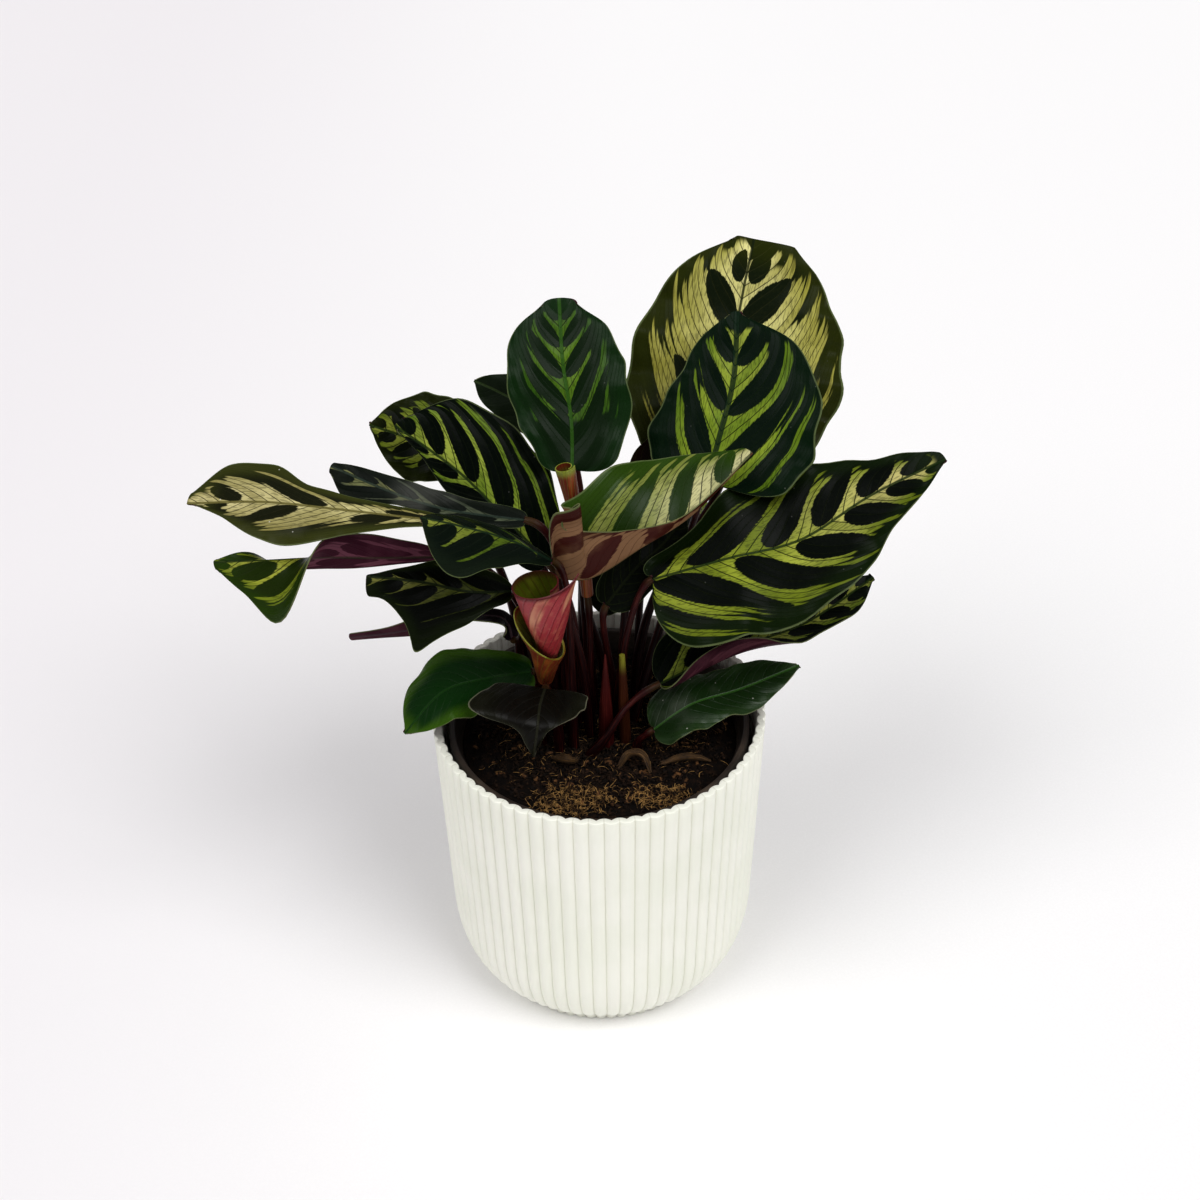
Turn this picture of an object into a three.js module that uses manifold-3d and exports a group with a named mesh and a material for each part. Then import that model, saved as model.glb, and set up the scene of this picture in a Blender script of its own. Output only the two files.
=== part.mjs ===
// Potted peacock plant: patterned leaves on red stalks, peat, a nursery pot and a ribbed outer pot.
// Millimetres, +Z up. The origin is the centre of the pot's flat underside, and -Y is the front.

import * as THREE from 'three';
import { mergeVertices } from 'three/addons/utils/BufferGeometryUtils.js';
import Module from 'manifold-3d';

const wasm = await Module();
wasm.setup();

// Outer pot: ribbed wall, rounded shoulder, short foot ring.
const POT_HEIGHT = 137;
const POT_RIM_RADIUS = 70;
const POT_SHOULDER_RADIUS = 66.6;
const POT_SHOULDER_Z = 40;
const POT_FOOT_RADIUS = 52.3;
const POT_FOOT_Z = 7;
const POT_BASE_RADIUS = 51.6;
const POT_WALL = 2.6;
const POT_FLOOR = 3;
const RIB_COUNT = 70;
const RIB_DEPTH = 1.15;
const FIRST_GROOVE = THREE.MathUtils.degToRad(-88.93);

// Nursery pot: a thin tapered cup with a rolled rim and drain holes.
const CLEARANCE = 0.3;
const CUP_RIM_RADIUS = 64.5;
const CUP_RIM_Z = 132;
const CUP_TOP_RADIUS = 62;
const CUP_BASE_RADIUS = 46;
const CUP_WALL = 1.6;
const CUP_LIP = 7;
const CUP_SEGMENTS = 36;
const DRAIN_COUNT = 5;
const DRAIN_RADIUS = 5;
const DRAIN_CIRCLE = 30;

// Peat: mounded towards the crown of the plant, with a hole for every stalk.
const SOIL_EDGE_Z = 122;
const SOIL_MOUND = 4;
const SOIL_RINGS = 6;
const SOIL_SECTORS = 30;
const STALK_DEPTH = 14;

// Blades and stalks.
const BLADE_THICKNESS = 0.8;
const BLADE_ROWS = 10;
const BLADE_COLUMNS = 6;
const STALK_SIDES = 6;
const STALK_STEPS = 7;
const STALK_FOOT_RADIUS = 2.3;
const STALK_TOP_RADIUS = 1.4;
const STALK_RISE = 0.4;
const STALK_REACH = 22;
const SEAT_GAP = 0.8;
const OVATE = [0.6, 0.9, 1, 0.96, 0.82, 0.5, 0];
const BASE_ROUND = 0.15;
const TIP_HALF_WIDTH = 0.6;
const STALK_SEAT_WIDTH = 1.6;
const FLARE_RISE = 0.7;

// Smooth curve through evenly spaced values, which are numbers or [x, y, z] points.
function through(values, t) {
  const last = values.length - 1;
  const i = Math.min(Math.floor(t * last), last - 1);
  const f = t * last - i;
  const at = (k) => values[THREE.MathUtils.clamp(k, 0, last)];
  const mix = (a, b, c, d) =>
    b + 0.5 * f * (c - a + f * (2 * a - 5 * b + 4 * c - d + f * (3 * (b - c) + d - a)));
  if (typeof values[0] === 'number') {
    return mix(at(i - 1), at(i), at(i + 1), at(i + 2));
  }
  return [0, 1, 2].map((k) => mix(at(i - 1)[k], at(i)[k], at(i + 1)[k], at(i + 2)[k]));
}

const vector = (p) => new THREE.Vector3(...p);

function directionOf(points, t) {
  const step = 0.01;
  const ahead = vector(through(points, Math.min(t + step, 1)));
  return ahead.sub(vector(through(points, Math.max(t - step, 0)))).normalize();
}

function closedGeometry(vertices, faces) {
  const geometry = new THREE.BufferGeometry();
  geometry.setAttribute('position', new THREE.Float32BufferAttribute(vertices.flat(), 3));
  geometry.setIndex(faces.flat());
  return geometry;
}

function toSolid(geometry) {
  const bare = geometry.clone();
  bare.deleteAttribute('normal');
  bare.deleteAttribute('uv');
  const merged = mergeVertices(bare, 1e-3);
  return new wasm.Manifold(
    new wasm.Mesh({
      numProp: 3,
      vertProperties: Float32Array.from(merged.attributes.position.array),
      triVerts: Uint32Array.from(merged.index.array),
    }),
  );
}

function fromSolid(solid) {
  const mesh = solid.getMesh();
  const geometry = new THREE.BufferGeometry();
  geometry.setAttribute('position', new THREE.BufferAttribute(mesh.vertProperties, 3));
  geometry.setIndex(new THREE.BufferAttribute(mesh.triVerts, 1));
  return geometry;
}

// The pot is a stack of rings. Outside, every rib takes three points: its groove and two on its crest.
// Inside, one point a rib is enough: it is the outside, moved in by the wall and up by the floor.
function potWallRadius(z) {
  if (z <= POT_FOOT_Z) {
    return THREE.MathUtils.mapLinear(z, 0, POT_FOOT_Z, POT_BASE_RADIUS, POT_FOOT_RADIUS);
  }
  if (z < POT_SHOULDER_Z) {
    const rise = (POT_SHOULDER_Z - z) / (POT_SHOULDER_Z - POT_FOOT_Z);
    return POT_FOOT_RADIUS + (POT_SHOULDER_RADIUS - POT_FOOT_RADIUS) * Math.sqrt(1 - rise * rise);
  }
  return THREE.MathUtils.mapLinear(z, POT_SHOULDER_Z, POT_HEIGHT, POT_SHOULDER_RADIUS, POT_RIM_RADIUS);
}

function potGeometry() {
  const pointsPerRib = 3;
  const outerCount = RIB_COUNT * pointsPerRib;
  const vertices = [];
  const faces = [];
  const ring = (count, z, radiusAt) => {
    const start = vertices.length;
    for (let i = 0; i < count; i += 1) {
      const turn = i / count;
      const angle = FIRST_GROOVE + turn * 2 * Math.PI;
      const r = radiusAt(i);
      vertices.push([r * Math.cos(angle), r * Math.sin(angle), z]);
    }
    return start;
  };
  const band = (low, high, count) => {
    for (let i = 0; i < count; i += 1) {
      const j = (i + 1) % count;
      faces.push([low + i, low + j, high + j], [low + i, high + j, high + i]);
    }
  };
  const cap = (start, count, z, up) => {
    const centre = vertices.push([0, 0, z]) - 1;
    for (let i = 0; i < count; i += 1) {
      const j = (i + 1) % count;
      faces.push(up ? [start + i, start + j, centre] : [start + j, start + i, centre]);
    }
  };

  const outside = [0, POT_FOOT_Z, 10, 16, 26, POT_SHOULDER_Z, POT_HEIGHT].map((z) =>
    ring(outerCount, z, (i) => potWallRadius(z) + (i % pointsPerRib ? RIB_DEPTH : 0)),
  );
  for (let k = 1; k < outside.length; k += 1) {
    band(outside[k - 1], outside[k], outerCount);
  }
  cap(outside[0], outerCount, 0, false);

  const inside = [POT_HEIGHT, 43, 23, 13, 10, POT_FLOOR].map((z) =>
    ring(RIB_COUNT, z, () => potWallRadius(z - POT_FLOOR) - POT_WALL),
  );
  for (let k = 1; k < inside.length; k += 1) {
    band(inside[k - 1], inside[k], RIB_COUNT);
  }
  cap(inside[inside.length - 1], RIB_COUNT, POT_FLOOR, true);

  const rimOuter = outside[outside.length - 1];
  const rimInner = inside[0];
  for (let rib = 0; rib < RIB_COUNT; rib += 1) {
    const nextRib = (rib + 1) % RIB_COUNT;
    const here = rimInner + rib;
    const next = rimInner + nextRib;
    const groove = rimOuter + rib * pointsPerRib;
    const nextGroove = rimOuter + nextRib * pointsPerRib;
    faces.push([groove, groove + 1, here], [groove + 1, groove + 2, here]);
    faces.push([groove + 2, next, here], [groove + 2, nextGroove, next]);
  }
  return closedGeometry(vertices, faces);
}

// The nursery pot's section, turned about Z, then drilled.
const cupFloorZ = POT_FLOOR + CLEARANCE;
const cupLipZ = CUP_RIM_Z - CUP_LIP;

function cupInnerRadius(z) {
  const inner = THREE.MathUtils.mapLinear(z, cupFloorZ, CUP_RIM_Z, CUP_BASE_RADIUS, CUP_TOP_RADIUS);
  return inner - CUP_WALL;
}

function cupGeometry() {
  const lipInner = cupInnerRadius(CUP_RIM_Z) + CUP_WALL;
  const section = [
    [0, cupFloorZ],
    [CUP_BASE_RADIUS, cupFloorZ],
    [cupInnerRadius(cupLipZ) + CUP_WALL, cupLipZ],
    [CUP_RIM_RADIUS, cupLipZ],
    [CUP_RIM_RADIUS, CUP_RIM_Z],
    [lipInner, CUP_RIM_Z],
    [cupInnerRadius(cupLipZ), cupLipZ - 1],
    [cupInnerRadius(cupFloorZ + CUP_WALL), cupFloorZ + CUP_WALL],
    [0, cupFloorZ + CUP_WALL],
  ].map(([r, z]) => new THREE.Vector2(r, z));
  const turned = new THREE.LatheGeometry(section, CUP_SEGMENTS);
  turned.rotateX(Math.PI / 2);
  let cup = toSolid(turned);
  for (let i = 0; i < DRAIN_COUNT; i += 1) {
    const angle = (i / DRAIN_COUNT) * 2 * Math.PI;
    const drill = new THREE.CylinderGeometry(DRAIN_RADIUS, DRAIN_RADIUS, 4 * CUP_WALL, 10);
    drill.rotateX(Math.PI / 2);
    drill.translate(DRAIN_CIRCLE * Math.cos(angle), DRAIN_CIRCLE * Math.sin(angle), cupFloorZ);
    cup = cup.subtract(toSolid(drill));
  }
  return fromSolid(cup);
}

// Peat surface: a low mound with a few broad hollows.
const soilBottomZ = cupFloorZ + CUP_WALL + CLEARANCE;
const soilEdgeRadius = cupInnerRadius(SOIL_EDGE_Z) - CLEARANCE;

function soilHeight(x, y) {
  const across = Math.min(Math.hypot(x, y) / soilEdgeRadius, 1);
  const hollows = 0.8 * Math.sin(0.11 * x + 1) * Math.cos(0.13 * y) + 0.4 * Math.sin(0.23 * (x + y));
  return SOIL_EDGE_Z + SOIL_MOUND * (1 - across * across) + hollows * (1 - across ** 4);
}

function soilGeometry(holes) {
  const vertices = [[0, 0, soilHeight(0, 0)]];
  const faces = [];
  const point = (r, i, z) => {
    const angle = (i / SOIL_SECTORS) * 2 * Math.PI;
    const x = r * Math.cos(angle);
    const y = r * Math.sin(angle);
    return [x, y, z === undefined ? soilHeight(x, y) : z];
  };
  for (let ring = 1; ring <= SOIL_RINGS; ring += 1) {
    for (let i = 0; i < SOIL_SECTORS; i += 1) {
      vertices.push(point((soilEdgeRadius * ring) / SOIL_RINGS, i));
    }
  }
  const bottomStart = vertices.length;
  for (let i = 0; i < SOIL_SECTORS; i += 1) {
    vertices.push(point(cupInnerRadius(soilBottomZ) - CLEARANCE, i, soilBottomZ));
  }
  const bottomCentre = vertices.push([0, 0, soilBottomZ]) - 1;
  for (let i = 0; i < SOIL_SECTORS; i += 1) {
    const j = (i + 1) % SOIL_SECTORS;
    faces.push([0, 1 + i, 1 + j]);
    for (let ring = 1; ring < SOIL_RINGS; ring += 1) {
      const inner = 1 + (ring - 1) * SOIL_SECTORS;
      const outer = inner + SOIL_SECTORS;
      faces.push([inner + i, outer + i, outer + j], [inner + i, outer + j, inner + j]);
    }
    const edge = 1 + (SOIL_RINGS - 1) * SOIL_SECTORS;
    faces.push([edge + i, bottomStart + i, bottomStart + j], [edge + i, bottomStart + j, edge + j]);
    faces.push([bottomStart + j, bottomStart + i, bottomCentre]);
  }
  let soil = toSolid(closedGeometry(vertices, faces));
  for (const { x, y, radius } of holes) {
    const depth = STALK_DEPTH + CLEARANCE;
    const bore = new THREE.CylinderGeometry(radius + 2 * CLEARANCE, radius + 2 * CLEARANCE, depth + 12, STALK_SIDES);
    bore.rotateX(Math.PI / 2);
    bore.translate(x, y, soilHeight(x, y) - depth + (depth + 12) / 2);
    soil = soil.subtract(toSolid(bore));
  }
  return fromSolid(soil);
}

// A thin sheet: a grid of points on its upper side, and the same grid again one thickness below.
function sheetGeometry(top, rows, columns, thickness = BLADE_THICKNESS) {
  const perRow = columns + 1;
  const id = (j, k) => j * perRow + k;
  const bottom = top.map((p, n) => {
    const j = Math.floor(n / perRow);
    const k = n % perRow;
    const across = top[id(j, Math.min(k + 1, columns))].clone().sub(top[id(j, Math.max(k - 1, 0))]);
    const along = top[id(Math.min(j + 1, rows), k)].clone().sub(top[id(Math.max(j - 1, 0), k)]);
    return p.clone().addScaledVector(across.cross(along).normalize(), -thickness);
  });
  const vertices = [...top, ...bottom].map((p) => p.toArray());
  const under = top.length;
  const faces = [];
  for (let j = 0; j < rows; j += 1) {
    for (let k = 0; k < columns; k += 1) {
      const [a, b, c, d] = [id(j, k), id(j, k + 1), id(j + 1, k + 1), id(j + 1, k)];
      faces.push([a, b, c], [a, c, d]);
      faces.push([under + c, under + b, under + a], [under + d, under + c, under + a]);
    }
  }
  const wall = (a, b) => faces.push([b, a, under + a], [b, under + a, under + b]);
  for (let k = 0; k < columns; k += 1) {
    wall(id(0, k), id(0, k + 1));
    wall(id(rows, k + 1), id(rows, k));
  }
  for (let j = 0; j < rows; j += 1) {
    wall(id(j + 1, 0), id(j, 0));
    wall(id(j, columns), id(j + 1, columns));
  }
  return closedGeometry(vertices, faces);
}

// A blade: two halves that fold and curl about a midrib, with a waved margin.
//   spine  points of the midrib from base to tip
//   face   directions that the upper surface looks in, from base to tip
//   left, right  greatest half-width, or the half-widths at even stations from base to tip
//   fold, curl   degrees up from flat at the midrib, and more by the margin: [left, right]
//   wave   [height, count, phase] of the margin's ripple
//   sweep  how far the margins lie forward of the midrib at the base and at the tip
//   round  how long the rounded base is, as a part of the length
const asList = (value) => (Array.isArray(value) ? value : [value, value]);
const asWidths = (value) => (Array.isArray(value) ? value : OVATE.map((part) => part * value));

// The base is rounded: there the half-width grows like a quarter of an ellipse.
function baseRounding(v, length) {
  const short = 1 - Math.min(v / length, 1);
  return Math.sqrt(1 - short * short);
}

function bladeSurface(leaf, rows, columns) {
  const { spine, face, wave = [0, 1, 0], sweep = [-3, 0], round = BASE_ROUND } = leaf;
  const folds = leaf.fold.map(asList);
  const curls = leaf.curl.map(asList);
  const widths = [asWidths(leaf.left), asWidths(leaf.right)];
  const grid = [];
  for (let j = 0; j <= rows; j += 1) {
    const station = j / rows;
    const v = (1 - Math.cos(Math.PI * station)) / 2;
    const rounding = baseRounding(v, round);
    const narrowest = v < round ? STALK_SEAT_WIDTH : TIP_HALF_WIDTH;
    const along = directionOf(spine, v);
    const normal = vector(through(asList(face), v));
    normal.addScaledVector(along, -normal.dot(along)).normalize();
    const side = along.clone().cross(normal);
    for (let k = 0; k <= columns; k += 1) {
      const u = (2 * k) / columns - 1;
      const half = u < 0 ? 0 : 1;
      const a = Math.abs(u);
      const width = Math.max(through(widths[half], v) * rounding, narrowest);
      const start = THREE.MathUtils.degToRad(through(folds[half], v));
      let turn = THREE.MathUtils.degToRad(through(curls[half], v)) * a;
      turn = Math.abs(turn) < 1e-4 ? 1e-4 : turn;
      const out = (a * width * (Math.sin(start + turn) - Math.sin(start))) / turn;
      const up = (a * width * (Math.cos(start) - Math.cos(start + turn))) / turn;
      const ripple = wave[0] * a * a * Math.sin(Math.PI * station)
        * Math.sin(2 * Math.PI * (wave[1] * v + wave[2] + 0.35 * half));
      const back = asList(sweep[0])[half];
      const forward = a * a * (back * rounding * (1 - v) ** 3 + sweep[1] * v ** 3);
      const p = vector(through(spine, v));
      p.addScaledVector(side, Math.sign(u) * out);
      p.addScaledVector(normal, up + ripple);
      p.addScaledVector(along, forward);
      grid.push(p);
    }
  }
  return grid;
}

const bladeGeometry = (leaf) =>
  sheetGeometry(bladeSurface(leaf, BLADE_ROWS, BLADE_COLUMNS), BLADE_ROWS, BLADE_COLUMNS);

// A young leaf or a sheath: a sheet wound about an axis, from bottom to mouth.
//   spine    points of the axis
//   radius   radii at even stations
//   from, wind  degrees at which the sheet starts, and how far it is wound
//   shrink   how much nearer to the axis the inner edge lies, as a part of the radius
//   lip      how much higher the mouth stands towards lipAt, in degrees
//   flare    how far the outer edge opens at the mouth, outwards and up
function rollSurface({ spine, radius, from, wind, shrink = 0, lip = 0, lipAt = 0, flare = 0 }, rows, columns) {
  const grid = [];
  for (let j = 0; j <= rows; j += 1) {
    const v = j / rows;
    const along = directionOf(spine, v);
    const east = new THREE.Vector3(1, 0, 0).addScaledVector(along, -along.x).normalize();
    const north = along.clone().cross(east);
    for (let k = 0; k <= columns; k += 1) {
      const s = k / columns;
      const angle = THREE.MathUtils.degToRad(from - wind * s);
      const opening = flare * v ** 3 * (1 - s) ** 4;
      const r = through(radius, v) * (1 - shrink * s) + opening;
      const p = vector(through(spine, v));
      p.addScaledVector(east, r * Math.cos(angle));
      p.addScaledVector(north, r * Math.sin(angle));
      const rise = lip * v ** 2 * Math.cos(angle - THREE.MathUtils.degToRad(lipAt));
      p.addScaledVector(along, rise + FLARE_RISE * opening);
      grid.push(p);
    }
  }
  return grid;
}

// A stalk or shoot: a round tube along a smooth path, with its own radius at every station.
function tubeGeometry(path, radii, sides = STALK_SIDES) {
  const vertices = [];
  const faces = [];
  const steps = path.length - 1;
  let across = new THREE.Vector3(1, 0, 0);
  path.forEach((point, j) => {
    const along = vector(path[Math.min(j + 1, steps)]).sub(vector(path[Math.max(j - 1, 0)])).normalize();
    across = across.clone().addScaledVector(along, -across.dot(along)).normalize();
    const other = along.clone().cross(across);
    const r = through(radii, j / steps);
    for (let i = 0; i < sides; i += 1) {
      const angle = (i / sides) * 2 * Math.PI;
      const p = vector(point).addScaledVector(across, r * Math.cos(angle));
      vertices.push(p.addScaledVector(other, r * Math.sin(angle)).toArray());
    }
  });
  for (let i = 0; i < sides; i += 1) {
    const n = (i + 1) % sides;
    for (let j = 0; j < steps; j += 1) {
      const low = j * sides;
      const high = low + sides;
      faces.push([low + i, low + n, high + n], [low + i, high + n, high + i]);
    }
  }
  const top = steps * sides;
  for (let i = 1; i < sides - 1; i += 1) {
    faces.push([0, i + 1, i], [top, top + i, top + i + 1]);
  }
  return closedGeometry(vertices, faces);
}

// A stalk leaves its hole upright and swings over into the line of the midrib that it carries.
// Its steer point, where it has one, pulls it aside on the way.
function stalkPath({ foot, steer, reach = STALK_REACH, spine }) {
  const [x, y] = foot;
  const ground = soilHeight(x, y);
  const along = directionOf(spine, 0);
  const base = vector(spine[0]);
  const leaving = steer ? vector(steer) : new THREE.Vector3(x, y, ground + STALK_RISE * (base.z - ground));
  const curve = new THREE.CubicBezierCurve3(
    new THREE.Vector3(x, y, ground),
    leaving,
    base.clone().addScaledVector(along, -reach),
    base.clone().addScaledVector(along, -SEAT_GAP),
  );
  return [[x, y, ground - STALK_DEPTH], ...curve.getPoints(STALK_STEPS).map((p) => p.toArray())];
}

// Leaves. Each has the place of its stalk's foot in the peat and the form of its blade.
const toFront = [0, -0.8, 0.6];
const forward = [-0.1, -0.9, 0.3];
const backward = [0, 0.9, 0.1];
const leaves = [
  {
    name: 'back_right_tall',
    foot: [16, 18],
    steer: [16, 40, 185],
    spine: [[54, 46, 228], [57, 68, 249], [62, 90, 277], [68, 104, 302]],
    face: [[0, -0.9, 0.45], [0.05, -0.85, 0.5]],
    left: [26, 37, 44, 41, 30, 21, 12],
    right: [21, 37, 46, 48, 44, 35, 24],
    fold: [8, 8],
    curl: [-22, -22],
    wave: [2.5, 4, 0.1],
    sweep: [-3, 2],
  },
  {
    name: 'back_right_low',
    foot: [15, 6],
    reach: 4,
    steer: [32, 30, 185],
    spine: [[46, 28, 234], [51, 40, 246], [58, 58, 265], [60, 76, 285]],
    face: [[-0.1, -0.8, 0.6], [0, -0.8, 0.6]],
    left: [20, 26, 29, 26, 22, 16, 3],
    right: [27, 33, 39, 39, 36, 25, 2],
    fold: [8, 8],
    curl: [-20, -20],
    wave: [1.2, 3, 0.3],
  },
  {
    name: 'right_large',
    foot: [8, -1],
    reach: 8,
    steer: [8, -1, 165],
    spine: [[23, 2, 204], [54, 6, 211], [84, 14, 214], [113, 26, 227], [144, 38, 236]],
    face: [[-0.15, -0.6, 0.8], [-0.1, -0.5, 0.85]],
    left: [8, 14, 28, 33, 25, 13, 4],
    right: [26, 34, 34, 31, 22, 13, 1],
    fold: [10, 6],
    curl: [-10, -15],
    wave: [2.2, 3.5, 0.2],
    sweep: [-9, 0],
  },
  {
    name: 'right_under',
    foot: [-4, -16],
    steer: [8, -18, 140],
    spine: [[26, -4, 154], [58, 10, 161], [90, 26, 162], [120, 44, 172]],
    face: [[0, -0.45, 0.9], [0, -0.4, 0.9]],
    left: [12, 19, 21, 18, 14, 9, 2],
    right: [12, 14, 16, 14, 9, 9, 1],
    fold: [8, [10, 20, 10, 5]],
    curl: [0, [60, 140, 60, 10, 0]],
    wave: [1, 3, 0.6],
    sweep: [-3, 0],
  },
  {
    name: 'front_right',
    foot: [16, -13],
    reach: 8,
    spine: [[23, -16, 139], [39, -13, 150], [60, -6, 152], [85, 4, 156]],
    face: [[-0.3, -0.2, 0.9], [0, -0.3, 0.95]],
    left: [10, 17, 14, 14, 12, 10, 0],
    right: [8, 12, 13, 12, 12, 7, 1],
    fold: [10, 6],
    curl: [-20, -20],
    wave: [1.5, 3, 0.2],
  },
  {
    name: 'upright_centre',
    foot: [-2, 15],
    steer: [-6, 24, 185],
    reach: 6,
    spine: [[-9, 20, 246], [-9, 32, 262], [-12, 46, 281], [-13, 62, 298]],
    face: [toFront, toFront],
    left: [12, 15, 21, 22, 20, 17, 5],
    right: [16, 19, 24, 24, 21, 16, 5],
    fold: [8, 8],
    curl: [-15, -15],
    wave: [1, 3, 0.4],
  },
  {
    name: 'left_large',
    foot: [-9, 5],
    spine: [[-20, 8, 209], [-36, 16, 225], [-55, 26, 242], [-79, 32, 260]],
    face: [toFront, [0, -0.75, 0.65]],
    left: [8, 10, 12, 10, 10, 4, 1],
    right: [9, 16, 25, 28, 28, 24, 5],
    fold: [-10, 8],
    curl: [-20, -15],
    wave: [1, 3, 0.1],
  },
  {
    name: 'back_centre',
    foot: [-5, 24],
    steer: [-10, 30, 190],
    spine: [[-14, 62, 234], [-27, 66, 247], [-39, 70, 253], [-50, 72, 258]],
    face: [toFront, toFront],
    left: [6, 8, 10, 10, 9, 6, 0],
    right: [8, 10, 12, 11, 9, 5, 0],
    fold: [8, 8],
    curl: [-15, -15],
    wave: [1, 2, 0],
  },
  {
    name: 'back_left',
    foot: [-10, 15],
    spine: [[-48, 36, 237], [-64, 42, 244], [-78, 46, 247], [-92, 46, 253]],
    face: [toFront, toFront],
    left: [8, 10, 15, 17, 15, 8, 0],
    right: [10, 14, 20, 21, 19, 12, 1],
    fold: [6, 6],
    curl: [-20, -20],
    wave: [1.2, 3, 0.2],
  },
  {
    name: 'left_narrow',
    foot: [-12, -2],
    steer: [-17, 0, 175],
    spine: [[-28, -2, 237], [-58, 6, 237], [-80, 14, 240], [-105, 22, 248]],
    face: [[0, -0.3, 0.9], [0, -0.6, 0.8]],
    left: [5, 5, 5, 4, 5, 11, 3],
    right: [5, 6, 7, 7, 7, 5, 2],
    fold: [5, 5],
    curl: [-20, 0],
    wave: [0.6, 2, 0],
  },
  {
    name: 'left_far',
    foot: [-30, 18],
    reach: 10,
    steer: [-36, 28, 215],
    spine: [[-60, -12, 244], [-96, -8, 247], [-129, -4, 249], [-160, 2, 245]],
    face: [[0, -0.3, 0.95], [-0.1, -0.4, 0.9]],
    left: [3, 5, 11, 19, 17, 6, 0],
    right: [4, 5, 6, 10, 18, 17, 5],
    fold: [5, 5],
    curl: [-10, -10],
    wave: [1, 2, 0.2],
  },
  {
    name: 'left_twisted',
    foot: [-22, 12],
    reach: 12,
    steer: [-24, 14, 200],
    spine: [[-62, -6, 223], [-84, -9, 225], [-106, -12, 228], [-127, -16, 230], [-148, -20, 232]],
    face: [backward, backward, backward, backward, [0, 0, 1], forward, forward, forward, forward],
    left: [3, 4, 7, 9, 10, 21, 2],
    right: [3, 4, 6, 7, 5, 4, 1],
    fold: [0, 0],
    curl: [0, 0],
  },
  {
    name: 'left_front',
    foot: [-11, -11],
    reach: 12,
    steer: [-12, -11, 190],
    spine: [[-17, -20, 230], [-32, -26, 244], [-48, -30, 253], [-65, -34, 261]],
    face: [toFront, toFront],
    left: [3, 5, 11, 15, 20, 14, 1],
    right: [3, 5, 9, 11, 11, 8, 1],
    fold: [-5, -60],
    curl: [0, -20],
  },
  {
    name: 'left_hanging',
    foot: [-18, 1],
    reach: 10,
    steer: [-18, 0, 195],
    spine: [[-34, -14, 211], [-50, -18, 214], [-68, -22, 222], [-87, -26, 228]],
    face: [[0, -0.5, 0.8], [0, -0.7, 0.7]],
    left: [3, 5, 11, 24, 24, 12, 10],
    right: [3, 8, 12, 12, 8, 4, 1],
    fold: [-10, 5],
    curl: [-20, -10],
  },
  {
    name: 'left_strap',
    foot: [-33, 11],
    reach: 8,
    steer: [-34, 20, 185],
    spine: [[-35, -8, 183], [-39, -10, 195], [-58, -11, 196], [-78, -12, 191], [-100, -12, 188]],
    face: [[0, -0.5, 0.9], [0, -0.2, 1], [0, 0.9, 0.2]],
    left: [3, 4, 4, 4, 4, 1, 3],
    right: [3, 4, 4, 4, 4, 1, 3],
    fold: [5, 5],
    curl: [0, 0],
  },
  {
    name: 'front_left',
    foot: [-27, 5],
    reach: 4,
    steer: [-26, 6, 148],
    spine: [[-28, -2, 160], [-47, -6, 160], [-65, -12, 158], [-81, -20, 143]],
    face: [[0, -0.3, 0.95], [-0.4, -0.3, 0.9]],
    left: [9, 12, 14, 16, 16, 10, 1],
    right: [10, 12, 17, 21, 19, 15, 1],
    fold: [5, 5],
    curl: [-20, -20],
    wave: [1, 3, 0.2],
  },
  {
    name: 'front_small',
    foot: [-17, -13],
    steer: [-17, -14, 155],
    reach: 3,
    spine: [[-22, -17, 163], [-24, -28, 163], [-25, -38, 159], [-27, -40, 146]],
    face: [[0, -0.3, 0.95], [0, -0.8, 0.6]],
    left: [18, 19, 18, 15, 5, 2, 0],
    right: [18, 21, 26, 28, 11, 4, 0],
    fold: [10, 10],
    curl: [-10, -10],
    wave: [0.8, 2, 0.1],
    sweep: [0, 0],
  },
  {
    name: 'centre_folded',
    foot: [-4, -4],
    steer: [-5, -4, 198],
    reach: 8,
    spine: [[-16, -12, 216], [-2, -9, 213.5], [18, -3, 223], [39, 6, 233], [62, 20, 251]],
    face: [[-0.46, -0.2, 0.86], [-0.46, -0.2, 0.86]],
    left: [18, 28, 32, 33, 33, 25, 6],
    right: [34, 41, 30, 13, 5, 3, 2],
    fold: [[60, 55, 20], [80, 80, 50]],
    curl: [[0, 0, -20], [25, 20, 0]],
    sweep: [[-4, -13], 0],
    round: 0.03,
  },
  {
    name: 'inner_right',
    foot: [8, 6],
    reach: 8,
    spine: [[4, 4, 190], [16, 12, 202], [28, 19, 210], [37, 24, 220]],
    face: [toFront, toFront],
    left: [6, 9, 10, 9, 7, 4, 0],
    right: [6, 10, 11, 11, 9, 6, 1],
    fold: [5, 5],
    curl: [-10, -10],
  },
  {
    name: 'inner_low',
    foot: [4, 20],
    steer: [2, 24, 165],
    reach: 6,
    spine: [[-4, 26, 178], [5, 33, 178], [15, 40, 182], [25, 44, 186]],
    face: [toFront, toFront],
    left: 10,
    right: 12,
    fold: [5, 5],
    curl: [0, 0],
    sweep: [0, 0],
  },
  {
    name: 'back_small',
    foot: [9, 12],
    reach: 10,
    steer: [12, 8, 190],
    spine: [[19, 40, 223], [25, 44, 234], [34, 48, 241], [43, 52, 246]],
    face: [toFront, toFront],
    left: 9,
    right: 9,
    fold: [5, 5],
    curl: [-10, -10],
  },
  {
    name: 'back_low',
    foot: [18, 30],
    spine: [[31, 57, 186], [46, 72, 184], [60, 88, 178], [72, 104, 168]],
    face: [[0.2, 0.3, 0.9], [0.3, 0.5, 0.8]],
    left: 22,
    right: 22,
    fold: [8, 8],
    curl: [-15, -15],
    wave: [1.5, 3, 0.3],
  },
  {
    name: 'back_low_left',
    foot: [-15, 22],
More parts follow.
